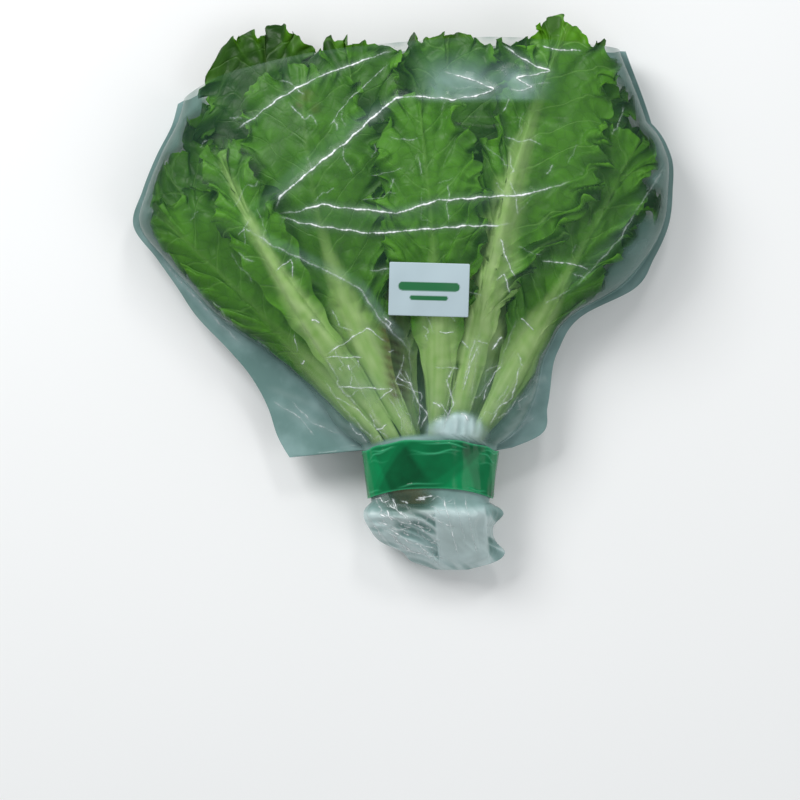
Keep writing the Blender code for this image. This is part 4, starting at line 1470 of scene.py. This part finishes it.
@dataclass
class FilmFolds:
    """Sharp folds that stand on the film's front: narrow ridges with a painted highlight along the crest."""

    chance: int = 60
    chance_x: Point = (-115.0, 125.0)
    chance_y: Point = (-45.0, 118.0)
    chance_reach: Point = (6.0, 24.0)
    chance_highlight: Point = (0.08, 0.34)
    gathers: int = 40
    gather_start: Point = (30.0, 62.0)
    gather_reach: Point = (12.0, 44.0)
    gather_highlight: Point = (0.10, 0.5)
    spangles: int = 24
    spangle_x: Point = (-70.0, 88.0)
    spangle_y: Point = (-78.0, -4.0)
    spangle_reach: Point = (3.0, 11.0)
    spangle_highlight: Point = (0.3, 0.9)
    step: float = 0.8
    steepest: float = 3.0
    seed: int = 11
    pouch_lines: int = 60
    pouch_x: Point = (-20.0, 18.0)
    pouch_y: Point = (-150.0, -112.0)
    pouch_reach: Point = (5.0, 15.0)
    pouch_highlight: Point = (0.25, 0.9)
    seam_start: float = -30.0
    seam_inset: float = 1.0
    section: tuple[tuple[float, float, float], ...] = (
        (-2.4, 0.0, 0.0), (-0.8, 0.35, 0.12), (-0.34, 0.9, 0.95), (0.34, 0.9, 0.95), (0.8, 0.35, 0.12),
        (2.4, 0.0, 0.0))

    def lines(self) -> list[Crease]:
        """All creases of the film.

        Returns:
            The long creases, edges, short chance ones, gathers above the tape and pouch folds.
        """
        rng = np.random.default_rng(self.seed)
        found = list(CREASES)
        open_part = [s for s in STATIONS if s.y >= self.seam_start]
        for edge in ([(s.left + self.seam_inset, s.y) for s in open_part],
                     [(s.right - self.seam_inset, s.y) for s in open_part]):
            found.append(Crease(tuple(edge), 0.6, 0.3, 0.26))
        found.append(Crease(tuple((x, y - 0.9) for x, y in MOUTH_EDGE[1:-1]), 0.55, 0.25, 0.42))
        for _ in range(self.chance):
            x, y = rng.uniform(*self.chance_x), rng.uniform(*self.chance_y)
            heading = math.atan2(y - NECK_FOOT_Y, x - NECK_X)
            heading += float(rng.choice((0.0, 0.5 * math.pi))) + rng.normal(0.0, 0.35)
            reach, white = rng.uniform(*self.chance_reach), rng.uniform(*self.chance_highlight)
            found.append(self.short_line(rng, x, y, heading, reach, white))
        for _ in range(self.gathers):
            angle = rng.uniform(0.10, 0.90) * math.pi
            start, reach = rng.uniform(*self.gather_start), rng.uniform(*self.gather_reach)
            x, y = NECK_X + 1.15 * start * math.cos(angle), NECK_FOOT_Y + start * math.sin(angle)
            heading = angle + rng.normal(0.0, 0.10)
            found.append(self.short_line(rng, x, y, heading, reach, rng.uniform(*self.gather_highlight)))
        for _ in range(self.spangles):
            x, y = rng.uniform(*self.spangle_x), rng.uniform(*self.spangle_y)
            heading = rng.uniform(0.0, math.pi)
            reach, white = rng.uniform(*self.spangle_reach), rng.uniform(*self.spangle_highlight)
            found.append(self.short_line(rng, x, y, heading, reach, white))
        for _ in range(self.pouch_lines):
            x, y = rng.uniform(*self.pouch_x), rng.uniform(*self.pouch_y)
            heading = rng.normal(-0.45, 0.45)
            reach, white = rng.uniform(*self.pouch_reach), rng.uniform(*self.pouch_highlight)
            found.append(self.short_line(rng, x, y, heading, reach, white))
        return found

    @staticmethod
    def short_line(rng: np.random.Generator, x: float, y: float, heading: float, reach: float,
                   white: float) -> Crease:
        """Short bent crease from a plan point.

        Args:
            rng: Source of its bends, width and height.
            x: Plan place across.
            y: Plan place along.
            heading: Direction in radians.
            reach: Length.
            highlight: Strength of the painted highlight on its crest.

        Returns:
            The crease.
        """
        dx, dy = math.cos(heading), math.sin(heading)
        corners = [(x, y)]
        for share in sorted(rng.uniform(0.2, 0.8, 2)):
            bend = rng.normal(0.0, 0.09) * reach
            corners.append((x + share * reach * dx - bend * dy, y + share * reach * dy + bend * dx))
        corners.append((x + reach * dx, y + reach * dy))
        return Crease(tuple(corners), rng.uniform(0.45, 0.9), rng.uniform(0.2, 0.5), white)

    def build(self, lines: list[Crease], film: bpy.types.Object,
              material: bpy.types.Material) -> bpy.types.Object:
        """Mesh piece of all sharp folds.

        Args:
            lines: Creases to lay.
            film: Film piece that they lie on.
            material: Finish of the folds.

        Returns:
            The piece.
        """
        rng = np.random.default_rng(self.seed + 7)
        mesh = film.data
        corners = np.zeros(len(mesh.vertices) * 3)
        mesh.vertices.foreach_get("co", corners)
        tree = BVHTree.FromPolygons(corners.reshape(-1, 3).tolist(),
                                    [tuple(polygon.vertices) for polygon in mesh.polygons])
        points, faces, crest_highlight = [], [], []
        for crease in lines:
            line, tangent, share = crease.trace(self.step, rng)
            normal = np.stack((-tangent[:, 1], tangent[:, 0]), axis=1)
            ends = smooth(share / 0.15) * smooth((1.0 - share) / 0.15)
            beat = rng.uniform(8.0, 30.0)
            # Painted glints: the crest highlight beads and breaks along the fold
            flicker = 0.58 + 0.3 * np.sin(share * beat + rng.uniform(0.0, 6.0)) * np.sin(share * 2.7 * beat)
            flicker = flicker + 0.22 * rng.uniform(-1.0, 1.0, len(line))
            strip, bright = [], []
            for k in range(len(line)):
                wide = crease.width * (0.30 + 0.60 * flicker[k])
                for out, rise, white in self.section:
                    x, y = line[k] + normal[k] * out * wide
                    hit = tree.ray_cast(Vector((x * MM, y * MM, 0.2)), Vector((0.0, 0.0, -1.0)))[0]
                    if hit is not None:
                        level = min(hit.z / MM + 0.06 + crease.rise * rise * ends[k], CEILING + 1.6)
                        strip.append((x, y, level))
                        bright.append(min(1.3 * white * crease.white * ends[k] * flicker[k], 1.0))
            heights = [point[2] for point in strip[::len(self.section)]]
            steps = [abs(b - a) for a, b in zip(heights, heights[1:])]
            if len(strip) < len(line) * len(self.section) or max(steps) > self.steepest:
                continue
            faces.append(grid_faces(len(line), len(self.section), len(points), True))
            points.extend(strip)
            crest_highlight.extend(bright)
        # crease mask here: strength of the painted highlight on each crest
        masks = {"crease": np.array(crest_highlight)}
        piece = build_piece("sleeve_folds", np.array(points), np.concatenate(faces), masks, material)
        stand_for(piece, "film")
        return piece


@dataclass
class FilmSleeve:
    """Clear sleeve: front and back panel from the pouch to the open mouth."""

    front_columns: int = 244
    back_columns: int = 90
    flap_columns: int = 8
    body_rows: int = 184
    back_rows: int = 70
    lower_rows: int = 80
    wall_veil: float = 0.58
    back_veil: float = 0.94
    wall_share: float = 0.86
    leaf_gap: float = 0.35
    neck_rows: int = 8

    @staticmethod
    def station_at(y: Array) -> dict[str, Array]:
        """Sections of the sleeve between the stations.

        Args:
            y: Plan places along the sleeve.

        Returns:
            Section values at y by name, each a column.
        """
        ys = [s.y for s in STATIONS] + [MOUTH.y]
        rows = STATIONS + (MOUTH,)
        names = ("left", "right", "left_flap", "right_flap", "top", "bottom", "seam")
        return {name: curve_through(y, ys, [getattr(s, name) for s in rows])[:, None] for name in names}

    def body(self, rows: int, columns: int, front: bool) -> Array:
        """One panel from the neck to the mouth.

        Args:
            rows: Mesh rows along the sleeve.
            columns: Mesh columns across it.
            front: Whether it is the front panel.

        Returns:
            Its point grid.
        """
        last = STATIONS[-1].y
        y = np.concatenate((np.linspace(STATIONS[0].y, last, rows - rows // 6, endpoint=False),
                            np.linspace(last, MOUTH.y, rows // 6)))
        s = self.station_at(y)
        bulge_left, bulge_right = s["left"] + s["left_flap"], s["right"] - s["right_flap"]
        centre, half = (bulge_left + bulge_right) / 2.0, (bulge_right - bulge_left) / 2.0
        t = np.linspace(1.0, -1.0, columns - 2 * self.flap_columns)
        share = (0.62 * t + 0.38 * np.sin(0.5 * math.pi * t))[None, :]
        ply = SEAM_HALF_GAP * (0.5 if front else -0.5)
        if front:
            z = s["seam"] + ply + (s["top"] - 1.2 - s["seam"] - ply) * dome(share, 3.0)
        else:
            flat = np.where(np.abs(share) < 0.72, 1.0, dome(share, 6.0))
            z = s["seam"] + ply - (s["seam"] + ply - s["bottom"] - 0.1) * flat
        x = centre + half * share
        k = np.linspace(0.0, 1.0, self.flap_columns, endpoint=False)[None, :]
        right = s["right"] + (bulge_right - s["right"]) * k
        left = s["left"] + (bulge_left - s["left"]) * k[:, ::-1]
        x = np.concatenate((right, x, left), axis=1)
        flat_z = np.broadcast_to(s["seam"] + ply, (len(y), self.flap_columns))
        z = np.concatenate((flat_z, z, flat_z), axis=1)
        away = np.abs(x - centre) / half
        drop = NECK_SIDE_DROP * (1.0 - smooth((y - STATIONS[0].y) / 40.0))[:, None]
        level = y[:, None] - drop * (np.minimum(away, 1.0) ** 2 + np.clip(away - 1.0, 0.0, 1.0))
        edge_xs, edge_ys = zip(*MOUTH_EDGE)
        to_mouth = np.clip((y - last) / (MOUTH.y - last), 0.0, 1.0)[:, None]
        level = level + to_mouth * (curve_through(x, edge_xs, edge_ys) - MOUTH.y)
        return np.stack((x, level, z), axis=2)

    def pouch_sections(self, rows: int) -> tuple[Array, ...]:
        """Sections of the pouch and of the gathered neck above it.

        Args:
            rows: Mesh rows along both.

        Returns:
            Places along the sleeve, and the sections' centres, levels, half widths and half heights
            there, each a column.
        """
        rings = list(reversed(POUCH))
        ys = [r.y for r in rings]
        in_neck = self.neck_rows
        y = np.concatenate((np.linspace(ys[0], POUCH_START_Y, rows - in_neck),
                            np.linspace(NECK_START_Y, NECK_TOP_Y, in_neck)))
        sizes = (
            np.concatenate((curve_through(y[:-in_neck], ys, [getattr(r, name) for r in rings]),
                            np.linspace(start, stop, in_neck)))[:, None]
            for name, start, stop in (("x", NECK_X, NECK_X), ("z", NECK_Z, NECK_Z),
                                      ("half_width", 33.4, NECK_HALF_WIDTH),
                                      ("half_height", 19.1, NECK_HALF_HEIGHT)))
        return y[:, None], *sizes

    @staticmethod
    def pouch_folds(y: Array, angle: Array) -> Array:
        """Folds that run along the pouch.

        Args:
            y: Places along the sleeve.
            angle: Places round the pouch, radians.

        Returns:
            Their heights.
        """
        twist = angle + 0.012 * (y - POUCH_START_Y) + 0.25 * np.sin(0.13 * y)
        folds = np.zeros(twist.shape)
        for pitch, size, phase in ((7, 0.8, 0.0), (12, 0.7, 1.1), (19, 0.4, 2.3)):
            sway = 0.8 * np.sin(0.21 * y + pitch)
            folds += size * (1.0 - 2.0 * np.abs(np.sin(0.5 * (pitch * twist + phase + sway))))
        return folds

    @staticmethod
    def pouch_crumple(x: Array, y: Array) -> tuple[Array, Array]:
        """Crumples that slant across the pouch.

        Args:
            x: Plan places across.
            y: Plan places along.

        Returns:
            Heights of the broad and of the fine crumples, at most 1.
        """
        run, over = 0.9 * x - 0.42 * y, 0.42 * x + 0.9 * y
        run = run + 3.0 * np.sin(over / 9.0)
        over = over + 4.0 * np.sin(run / 14.0)
        broad = 1.0 - 1.5 * np.abs(Crumple(15.0, 71, 7)(0.30 * run, over))
        fine = 1.0 - 1.5 * np.abs(Crumple(6.5, 72, 7)(0.22 * run, over))
        return broad, fine

    def lower(self, rows: int, columns: int, front: bool) -> tuple[Array, dict[str, Array]]:
        """One panel from the pouch's end to the neck's top.

        Args:
            rows: Mesh rows along the sleeve.
            columns: Mesh columns across it.
            front: Whether it is the front panel.

        Returns:
            Its point grid and its finish masks.
        """
        turn = np.linspace(0.0, math.pi, columns)
        c, s = np.cos(turn)[None, :], np.abs(np.sin(turn))[None, :]
        y, x0, z0, half, high = self.pouch_sections(rows)
        power = 2.0 / np.interp(y, (-125.0, NECK_START_Y), (2.2, NECK_ROUNDNESS))
        in_pouch = smooth((POUCH_START_Y - y) / 8.0)
        swell = 1.0 + in_pouch * self.pouch_folds(y, turn[None, :] if front else -turn[None, :]) / 28.0
        x = x0 + half * np.sign(c) * np.abs(c) ** power * swell
        z = z0 + (1.0 if front else -1.0) * high * s ** power * swell
        tail = np.clip(1.0 - ((x - 33.0 + 0.1 * (y + 135.0)) / 15.0) ** 2, 0.0, 1.0)
        tail = smooth(5.0 * tail) * in_pouch * smooth((y + 154.0) / 9.0)
        level = y + 0.0 * x
        crumple, fine = self.pouch_crumple(x, level)
        rough = (1.9 * crumple + 0.8 * fine) * in_pouch * (1.0 - 0.75 * tail)
        if front:
            z = z + 3.5 * tail + rough * s ** 0.5
        drop = NECK_SIDE_DROP * smooth((y - POUCH_START_Y) / (NECK_TOP_Y - POUCH_START_Y))
        folds = np.clip(0.5 * crumple + 0.5 * fine, -1.0, 1.0) * in_pouch
        points = np.stack((x, level - drop * c ** 2, np.maximum(z, 0.4)), axis=2)
        return points, self.lower_masks(points, folds, tail)

    @staticmethod
    def creased(x: Array, y: Array, lines: list[Crease]) -> tuple[Array, Array]:
        """Broad rise of the film along its creases.

        Args:
            x: Plan places across.
            y: Plan places along.
            lines: The creases.

        Returns:
            Heights, and a faint painted highlight beside each crease.
        """
        lift, halo_highlight = np.zeros_like(x), np.zeros_like(x)
        for crease in lines:
            gap, where = crease.distance(x, y)
            ends = smooth(where / 0.15) * smooth((1.0 - where) / 0.15)
            lift = lift + 0.7 * crease.rise * ends * np.exp(-(gap / 2.4) ** 2)
            halo_highlight = np.maximum(halo_highlight, 0.16 * crease.white * ends * np.exp(-(gap / (2.6 * crease.width)) ** 2))
        return lift, halo_highlight

    @staticmethod
    def haze_and_painted_sheen(x: Array, y: Array) -> Array:
        """Milky share of the film with painted light: a painted reflection across the tips, the milky
        gathered neck and painted broad sheens.

        Args:
            x: Plan places across.
            y: Plan places along.

        Returns:
            Shares at the points.
        """
        neck = smooth((-22.0 - y) / 50.0)
        # Painted reflection: a broad whitish patch of film across the tips
        tip_reflection = smooth((y - 106.0) / 3.0) * smooth(x / 22.0) * smooth((92.0 - x) / 26.0)
        haze_and_sheen = 0.62 * tip_reflection * smooth((141.0 - y) / 26.0) + 0.16 * neck + 0.03
        for sheen in SHEENS:
            gap, where = sheen.distance(x, y)
            ends = smooth(where / 0.2) * smooth((1.0 - where) / 0.2)
            haze_and_sheen = haze_and_sheen + sheen.white * ends * np.exp(-(gap / sheen.width) ** 4)
        return haze_and_sheen

    @staticmethod
    def tuft(x: Array, y: Array) -> Array:
        """Ragged tuft of gathered film that stands up above the tape.

        Args:
            x: Plan places across.
            y: Plan places along.

        Returns:
            Share of its height at the points.
        """
        ragged = 1.0 + 0.16 * Crumple(9.0, 9)(x, 0.5 * y)
        tuft_x, tuft_y = (x - 31.0) / (15.0 + 0.2 * (y + 80.0)), (y + 77.0) / 11.5
        share = np.exp(-((tuft_x ** 2 + tuft_y ** 2) * ragged) ** 4)
        return share * (0.8 + 0.2 * Crumple(5.0, 8)(x, 0.3 * y))

    def front_detail(self, points: Array, lines: list[Crease], cover: PlanMap,
                     roof: PlanMap) -> tuple[Array, dict[str, Array]]:
        """Wrinkled front panel and its finish masks.

        Args:
            points: Point grid of the smooth panel.
            lines: Creases of the panel.
            cover: How far leaves back the film.
            roof: Level of the highest leaf.

        Returns:
            The wrinkled points and the masks.
        """
        x, y, z = points[:, :, 0], points[:, :, 1], points[:, :, 2]
        lift, halo_highlight = self.creased(x, y, lines)
        loose = smooth((y + 76.0) / 30.0)
        flat = smooth((z - 21.0) / 14.0)
        z = z + loose * flat * (0.9 * Crumple(42.0, 5)(x, y) + 0.45 * Crumple(16.0, 6)(x, y) - 0.9)
        z = z + np.minimum(lift, 1.4) * flat
        centre, half = Pile.span(y)
        inside = smooth((self.wall_share - np.abs(x - centre) / half) / 0.12)
        z = z + inside * np.clip(roof(x, y) + self.leaf_gap - z, 0.0, 3.0)
        veil = np.clip(1.0 - cover(x, y), 0.0, 1.0) * (self.wall_veil + (1.0 - self.wall_veil) * (1.0 - flat))
        haze_and_sheen, tuft = self.haze_and_painted_sheen(x, y), self.tuft(x, y)
        z = z + 4.0 * np.clip(tuft, 0.0, 1.0)
        # Haze mask: milky film and the tuft, plus the painted sheens and the painted tip reflection
        masks = {"veil": veil, "haze_and_sheen": np.clip(haze_and_sheen + 1.3 * tuft, 0.0, 1.0),
                 # Painted highlight beside each crease, and the whitish tuft
                 "crease": np.clip(halo_highlight + 0.2 * tuft, 0.0, 1.0)}
        return np.stack((x, y, z), axis=2), masks

    @staticmethod
    def lower_masks(points: Array, folds: Array, tail: Array) -> dict[str, Array]:
        """Finish masks of the pouch: whitish crumpled film with painted highlights on its ridges, clear over
        the butt, white on the tail.

        Args:
            points: Point grid of the panel.
            folds: Heights of its crumples, from -1 to 1.
            tail: Share of the folded-up tail.

        Returns:
            The masks.
        """
        x, y = points[:, :, 0], points[:, :, 1]
        # Painted light: crumple ridges are coloured whiter and their crests carry a painted highlight
        ridge_highlight = smooth(0.5 + 0.9 * folds)
        window = np.exp(-(((x - 2.0) / 17.0) ** 2 + ((y + 112.0) / 9.0) ** 2) ** 2) * (1.0 - tail)
        veil = 0.85 * (1.0 - 0.85 * window)
        haze_and_sheen = np.clip((0.20 + 0.45 * ridge_highlight) * (1.0 - 0.9 * window) + 1.3 * tail, 0.0, 1.0)
        return {"veil": veil, "haze_and_sheen": haze_and_sheen,
                "crease": np.clip(0.3 * ridge_highlight ** 6 * (1.0 - tail) + 0.30 * tail, 0.0, 1.0)}

    def build(self, cover: PlanMap, roof: PlanMap) -> list[bpy.types.Object]:
        """Pieces of the sleeve.

        Args:
            cover: How far leaves back the film.
            roof: Level of the highest leaf.

        Returns:
            The front panel, the sharp folds on it and the back panel.
        """
        material = FilmFinish().build()
        folds = FilmFolds()
        lines = folds.lines()
        body = self.body(self.body_rows, self.front_columns, True)
        body, masks = self.front_detail(body, lines, cover, roof)
        pouch, low_masks = self.lower(self.lower_rows, self.front_columns, True)
        points = np.concatenate((pouch, body))
        joined = {label: np.concatenate((low_masks[label], masks[label])) for label in masks}
        front = build_piece("sleeve_front", points, grid_faces(*points.shape[:2]), joined, material)
        stand_for(front, "film", "sleeve")
        creases = folds.build(lines, front, CrestHighlightFinish().build())
        body = self.body(self.back_rows, self.back_columns, False)
        pouch, low_masks = self.lower(self.lower_rows, self.back_columns, False)
        veil = self.back_veil * np.clip(1.0 - cover(body[:, :, 0], body[:, :, 1]), 0.0, 1.0)
        plain = {"veil": veil, "haze_and_sheen": 0.1 + 0.0 * veil, "crease": 0.0 * veil}
        points = np.concatenate((pouch, body))
        points[:, :, 2] = np.maximum(points[:, :, 2], 0.05)
        joined = {label: np.concatenate((low_masks[label], plain[label])) for label in plain}
        back = build_piece("sleeve_back", points, grid_faces(*points.shape[:2], flip=True), joined, material)
        stand_for(back, "film")
        return [front, creases, back]


@dataclass
class TapeBand:
    """Wide green tape round the gathered neck."""

    gap: float = 0.35
    thickness: float = 0.8
    columns: int = 150
    rows: int = 84
    creases: tuple[tuple[float, float, float], ...] = (
        (0.09, 0.030, 0.70), (0.20, 0.055, 0.60), (0.32, 0.05, 0.25), (0.92, 0.025, 0.5))

    @staticmethod
    def crinkles(angle: Array, v: Array) -> Array:
        """Thin creases that run along the tape.

        Args:
            angle: Places round the tape, radians.
            v: Places across it, 0 on its upper edge and 1 on its lower one.

        Returns:
            Their heights.
        """
        total = 0.0
        for place, sway, size in TapeBand.creases:
            line = place + sway * np.sin(5.0 * angle + 31.0 * place) + 0.4 * sway * np.sin(17.0 * angle)
            beat = np.clip(0.35 + 0.65 * np.sin(7.0 * angle + 50.0 * place), 0.0, 1.0)
            total = total + size * beat * np.exp(-((v - line) / 0.017) ** 2)
        return total

    def surface(self, grow: float) -> Array:
        """One face of the tape.

        Args:
            grow: How far it stands off the neck.

        Returns:
            Its point grid.
        """
        angle = np.linspace(0.0, 2.0 * math.pi, self.columns, endpoint=False)[None, :]
        v = np.linspace(0.0, 1.0, self.rows)[:, None]
        c, s = np.cos(angle), np.sin(angle)
        half = NECK_HALF_WIDTH + v * (NECK_FOOT_HALF_WIDTH - NECK_HALF_WIDTH) + grow
        high = NECK_HALF_HEIGHT + v * (NECK_FOOT_HALF_HEIGHT - NECK_HALF_HEIGHT) + grow
        power = 2.0 / NECK_ROUNDNESS
        top, foot = NECK_TOP_Y - 0.8, NECK_FOOT_Y
        level = top + v * (foot - top) - (NECK_SIDE_DROP - v) * c ** 2
        pucker = 0.28 * np.sin(23.0 * angle + 2.0 * np.sin(5.0 * angle) + 3.0 * v) * (1.0 - v) ** 2
        pucker = pucker + 0.22 * np.sin(31.0 * angle + 4.0 * v) * v ** 3
        pucker = pucker + 0.12 * np.sin(9.0 * angle + 9.0 * v)
        pucker = pucker + 0.8 * self.crinkles(angle, v)
        x = NECK_X + (half + 0.6 * pucker) * np.sign(c) * np.abs(c) ** power
        z = NECK_Z + (high + pucker) * np.sign(s) * np.abs(s) ** power
        return np.stack((x, level + 0.35 * np.sin(11.0 * angle) * (1.0 - v), z), axis=2)

    def build(self) -> bpy.types.Object:
        """Mesh piece of the tape.

        Returns:
            The piece.
        """
        outer, inner = self.surface(self.gap + self.thickness), self.surface(self.gap)
        outer = np.concatenate((outer, outer[:, :1]), axis=1)
        inner = np.concatenate((inner, inner[:, :1]), axis=1)
        rows, columns = outer.shape[:2]
        angle = np.linspace(0.0, 2.0 * math.pi, columns)[None, :]
        v = np.linspace(0.0, 1.0, rows)[:, None]
        slant = 5.0 * angle + 1.9 * v
        ply = 0.30 * smooth(0.5 + 2.2 * np.sin(slant))
        ply = ply + 0.30 * smooth(0.5 + 3.0 * np.sin(0.6 * slant - 3.4 * v + 1.0))
        ply = ply + 0.15 * smooth(0.5 + 5.0 * np.sin(3.1 * angle - 2.6 * v + 0.5))
        # Painted highlight along the upper and lower edges and along the crinkles
        lip_highlight = np.exp(-(v / 0.030) ** 2) + 0.7 * np.exp(-((1.0 - v) / 0.025) ** 2)
        lip_highlight = lip_highlight + 1.5 * self.crinkles(angle, v)
        points = np.concatenate((outer.reshape(-1, 3), inner.reshape(-1, 3)))
        masks = {"ply": np.tile(ply.ravel(), 2), "lip_highlight": np.tile(np.clip(lip_highlight, 0.0, 1.0).ravel(), 2)}
        piece = build_piece("tape_band_film", points, slab_faces(rows, columns), masks, TapeFinish().build())
        stand_for(piece, "tape", "tape_band")
        return piece


@dataclass
class Sticker:
    """Plain white sticker on the film, with two printed bars in place of words."""

    width: float = 44.2
    height: float = 29.2
    centre: Point = (14.0, 3.2)
    turn: float = math.radians(-1.5)
    thickness: float = 0.6
    columns: int = 88
    rows: int = 60
    bars: tuple[tuple[float, float, float, float], ...] = ((0.0, 1.6, 17.0, 2.4), (0.0, -4.6, 10.5, 1.3))

    @staticmethod
    def film_top(x: Array, y: Array) -> Array:
        """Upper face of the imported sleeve.

        Args:
            x: Plan places across.
            y: Plan places along.

        Returns:
            Its height at the points.
        """
        ys = [s.y for s in STATIONS]
        centre, half = Pile.span(y)
        seam = curve_through(y, ys, [s.seam for s in STATIONS]) + SEAM_HALF_GAP
        top = curve_through(y, ys, [s.top for s in STATIONS])
        return seam + (top - seam) * dome((x - centre) / half, 3.0)

    def build(self) -> bpy.types.Object:
        """Mesh piece of the sticker.

        Returns:
            The piece.
        """
        u = np.linspace(-0.5, 0.5, self.rows)[:, None] * self.height
        v = np.linspace(-0.5, 0.5, self.columns)[None, :] * self.width
        corner = 0.5
        inset = np.clip(np.abs(u) - self.height / 2.0 + corner, 0.0, corner)
        v = v * (1.0 - (corner - np.sqrt(corner ** 2 - inset ** 2)) / (self.width / 2.0))
        x = self.centre[0] + v * math.cos(self.turn) - u * math.sin(self.turn)
        y = self.centre[1] + v * math.sin(self.turn) + u * math.cos(self.turn)
        curl = 0.25 * np.sin(0.21 * v + 0.1 * u) + 0.2 * Crumple(18.0, 41, 6)(x, y)
        z = self.film_top(x, y) + 0.5 + curl
        ink = np.zeros_like(x)
        for px, py, half, high in self.bars:
            reach = np.hypot(np.clip(np.abs(v - px) - half + high, 0.0, None), np.abs(u - py))
            ink = np.maximum(ink, smooth((high - reach) / 0.3 + 0.5))
        upper, lower = np.stack((x, y, z + self.thickness), axis=2), np.stack((x, y, z), axis=2)
        points = np.concatenate((upper.reshape(-1, 3), lower.reshape(-1, 3)))
        masks = {"ink": np.concatenate((ink.ravel(), 0.0 * ink.ravel()))}
        piece = build_piece("label_paper", points, slab_faces(*x.shape), masks, StickerFinish().build())
        stand_for(piece, "sticker", "label")
        return piece


@dataclass
class Stump:
    """Cut stem butt at the foot of the leaves."""

    columns: int = 96
    rows: int = 40

    def build(self) -> bpy.types.Object:
        """Mesh piece of the stem butt.

        Returns:
            The piece.
        """
        angle = np.linspace(0.0, 2.0 * math.pi, self.columns + 1)[None, :]
        v = np.linspace(0.0, 1.0, self.rows)[:, None]
        flank_share = 0.6
        along = np.clip(v / flank_share, 0.0, 1.0)
        inward = np.clip((v - flank_share) / (1.0 - flank_share), 0.0, 1.0)
        radius = (1.0 - 0.3 * along ** 2) * (1.0 - inward) + 0.002
        knobs = 1.0 + 0.03 * np.sin(7.0 * angle + 3.0 * along) * (1.0 - inward) - 0.02
        x = STUMP_X + STUMP_HALF_WIDTH * radius * np.cos(angle) * knobs
        z = NECK_Z + STUMP_HALF_HEIGHT * radius * np.sin(angle) * knobs
        y = STUMP_TOP_Y + (STUMP_FOOT_Y - STUMP_TOP_Y) * along + 0.5 * inward * Crumple(9.0, 61, 6)(x, z)
        ring = smooth(0.5 + 0.5 * np.sin(26.0 * radius + 0.6 * np.sin(5.0 * angle)))
        cut = smooth((v - 0.5 * flank_share) / 0.12) + 0.0 * angle
        points = np.stack((x, y, z), axis=2)
        lid = points[:1].copy()
        lid[:, :, 0], lid[:, :, 2] = STUMP_X, NECK_Z
        points = np.concatenate((lid, points))
        masks = {"ring": np.concatenate((ring[:1], ring)), "cut": np.concatenate((cut[:1], cut))}
        faces = grid_faces(*points.shape[:2])
        piece = build_piece("stump_flesh", points, faces, masks, StumpFinish().build())
        stand_for(piece, "stem", "stump")
        return piece


@dataclass
class Studio:
    """Pale floor, soft lights and the camera that looks straight down."""

    eye_height: float = 2600.0
    view_width: float = 448.0
    view_centre: Point = (-2.0, -57.7)
    aim_level: float = 32.0
    sensor: float = 36.0
    floor_reach: float = 3.0
    floor_level: float = -0.0004
    sky: Colour = (0.95, 0.98, 1.0)
    sky_strength: float = 0.42

    def floor(self) -> None:
        """Plain floor just under the bunch."""
        mesh = bpy.data.meshes.new("floor")
        reach = self.floor_reach
        corners = [(reach * side, reach * along, self.floor_level)
                   for side, along in ((-1, -1), (1, -1), (1, 1), (-1, 1))]
        mesh.from_pydata(corners, [], [(0, 1, 2, 3)])
        mesh.materials.append(FloorFinish().build())
        thing = bpy.data.objects.new("floor", mesh)
        bpy.context.scene.collection.objects.link(thing)

    def light(self, name: str, place: tuple[float, float, float], size: float, power: float,
              aim: tuple[float, float, float] = (0.0, 0.0, 0.03)) -> None:
        """Soft square light.

        Args:
            name: Name of the light.
            place: Where it hangs, metres.
            size: Length of its side, metres.
            power: Its power, watts.
            aim: Point that it faces, metres.
        """
        lamp = bpy.data.lights.new(name, "AREA")
        lamp.shape = "SQUARE"
        lamp.size = size
        lamp.energy = power
        thing = bpy.data.objects.new(name, lamp)
        thing.location = place
        thing.rotation_euler = (Vector(aim) - Vector(place)).to_track_quat("-Z", "Y").to_euler()
        bpy.context.scene.collection.objects.link(thing)

    def build(self) -> None:
        """Floor, lights, sky and camera."""
        self.floor()
        self.light("key_light", place=(-0.80, 0.85, 1.15), size=0.7, power=17.0)
        self.light("fill_light", place=(0.95, -0.45, 1.2), size=1.0, power=5.0)
        self.light("glint_light", place=(0.25, 0.95, 1.1), size=0.25, power=3.0)
        world = bpy.data.worlds.new("soft_sky")
        world.use_nodes = True
        backdrop = world.node_tree.nodes["Background"]
        backdrop.inputs["Color"].default_value = (*self.sky, 1.0)
        backdrop.inputs["Strength"].default_value = self.sky_strength
        bpy.context.scene.world = world
        lens = bpy.data.cameras.new("camera")
        lens.sensor_width = self.sensor
        lens.lens = self.sensor * (self.eye_height - self.aim_level) / self.view_width
        camera = bpy.data.objects.new("camera", lens)
        camera.location = (self.view_centre[0] * MM, self.view_centre[1] * MM, self.eye_height * MM)
        bpy.context.scene.collection.objects.link(camera)
        bpy.context.scene.camera = camera
        bpy.context.scene.view_settings.view_transform = "Standard"


def write_sizes() -> None:
    bpy.context.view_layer.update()


def main() -> None:
    """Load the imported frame, then build, dress and light every piece."""
    logging.basicConfig(level=logging.INFO, format="%(message)s")
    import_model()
    head = LeafHead()
    head.build()
    Stump().build()
    FilmSleeve().build(*head.maps())
    TapeBand().build()
    Sticker().build()
    Studio().build()
    write_sizes()


if __name__ == "__main__":
    main()
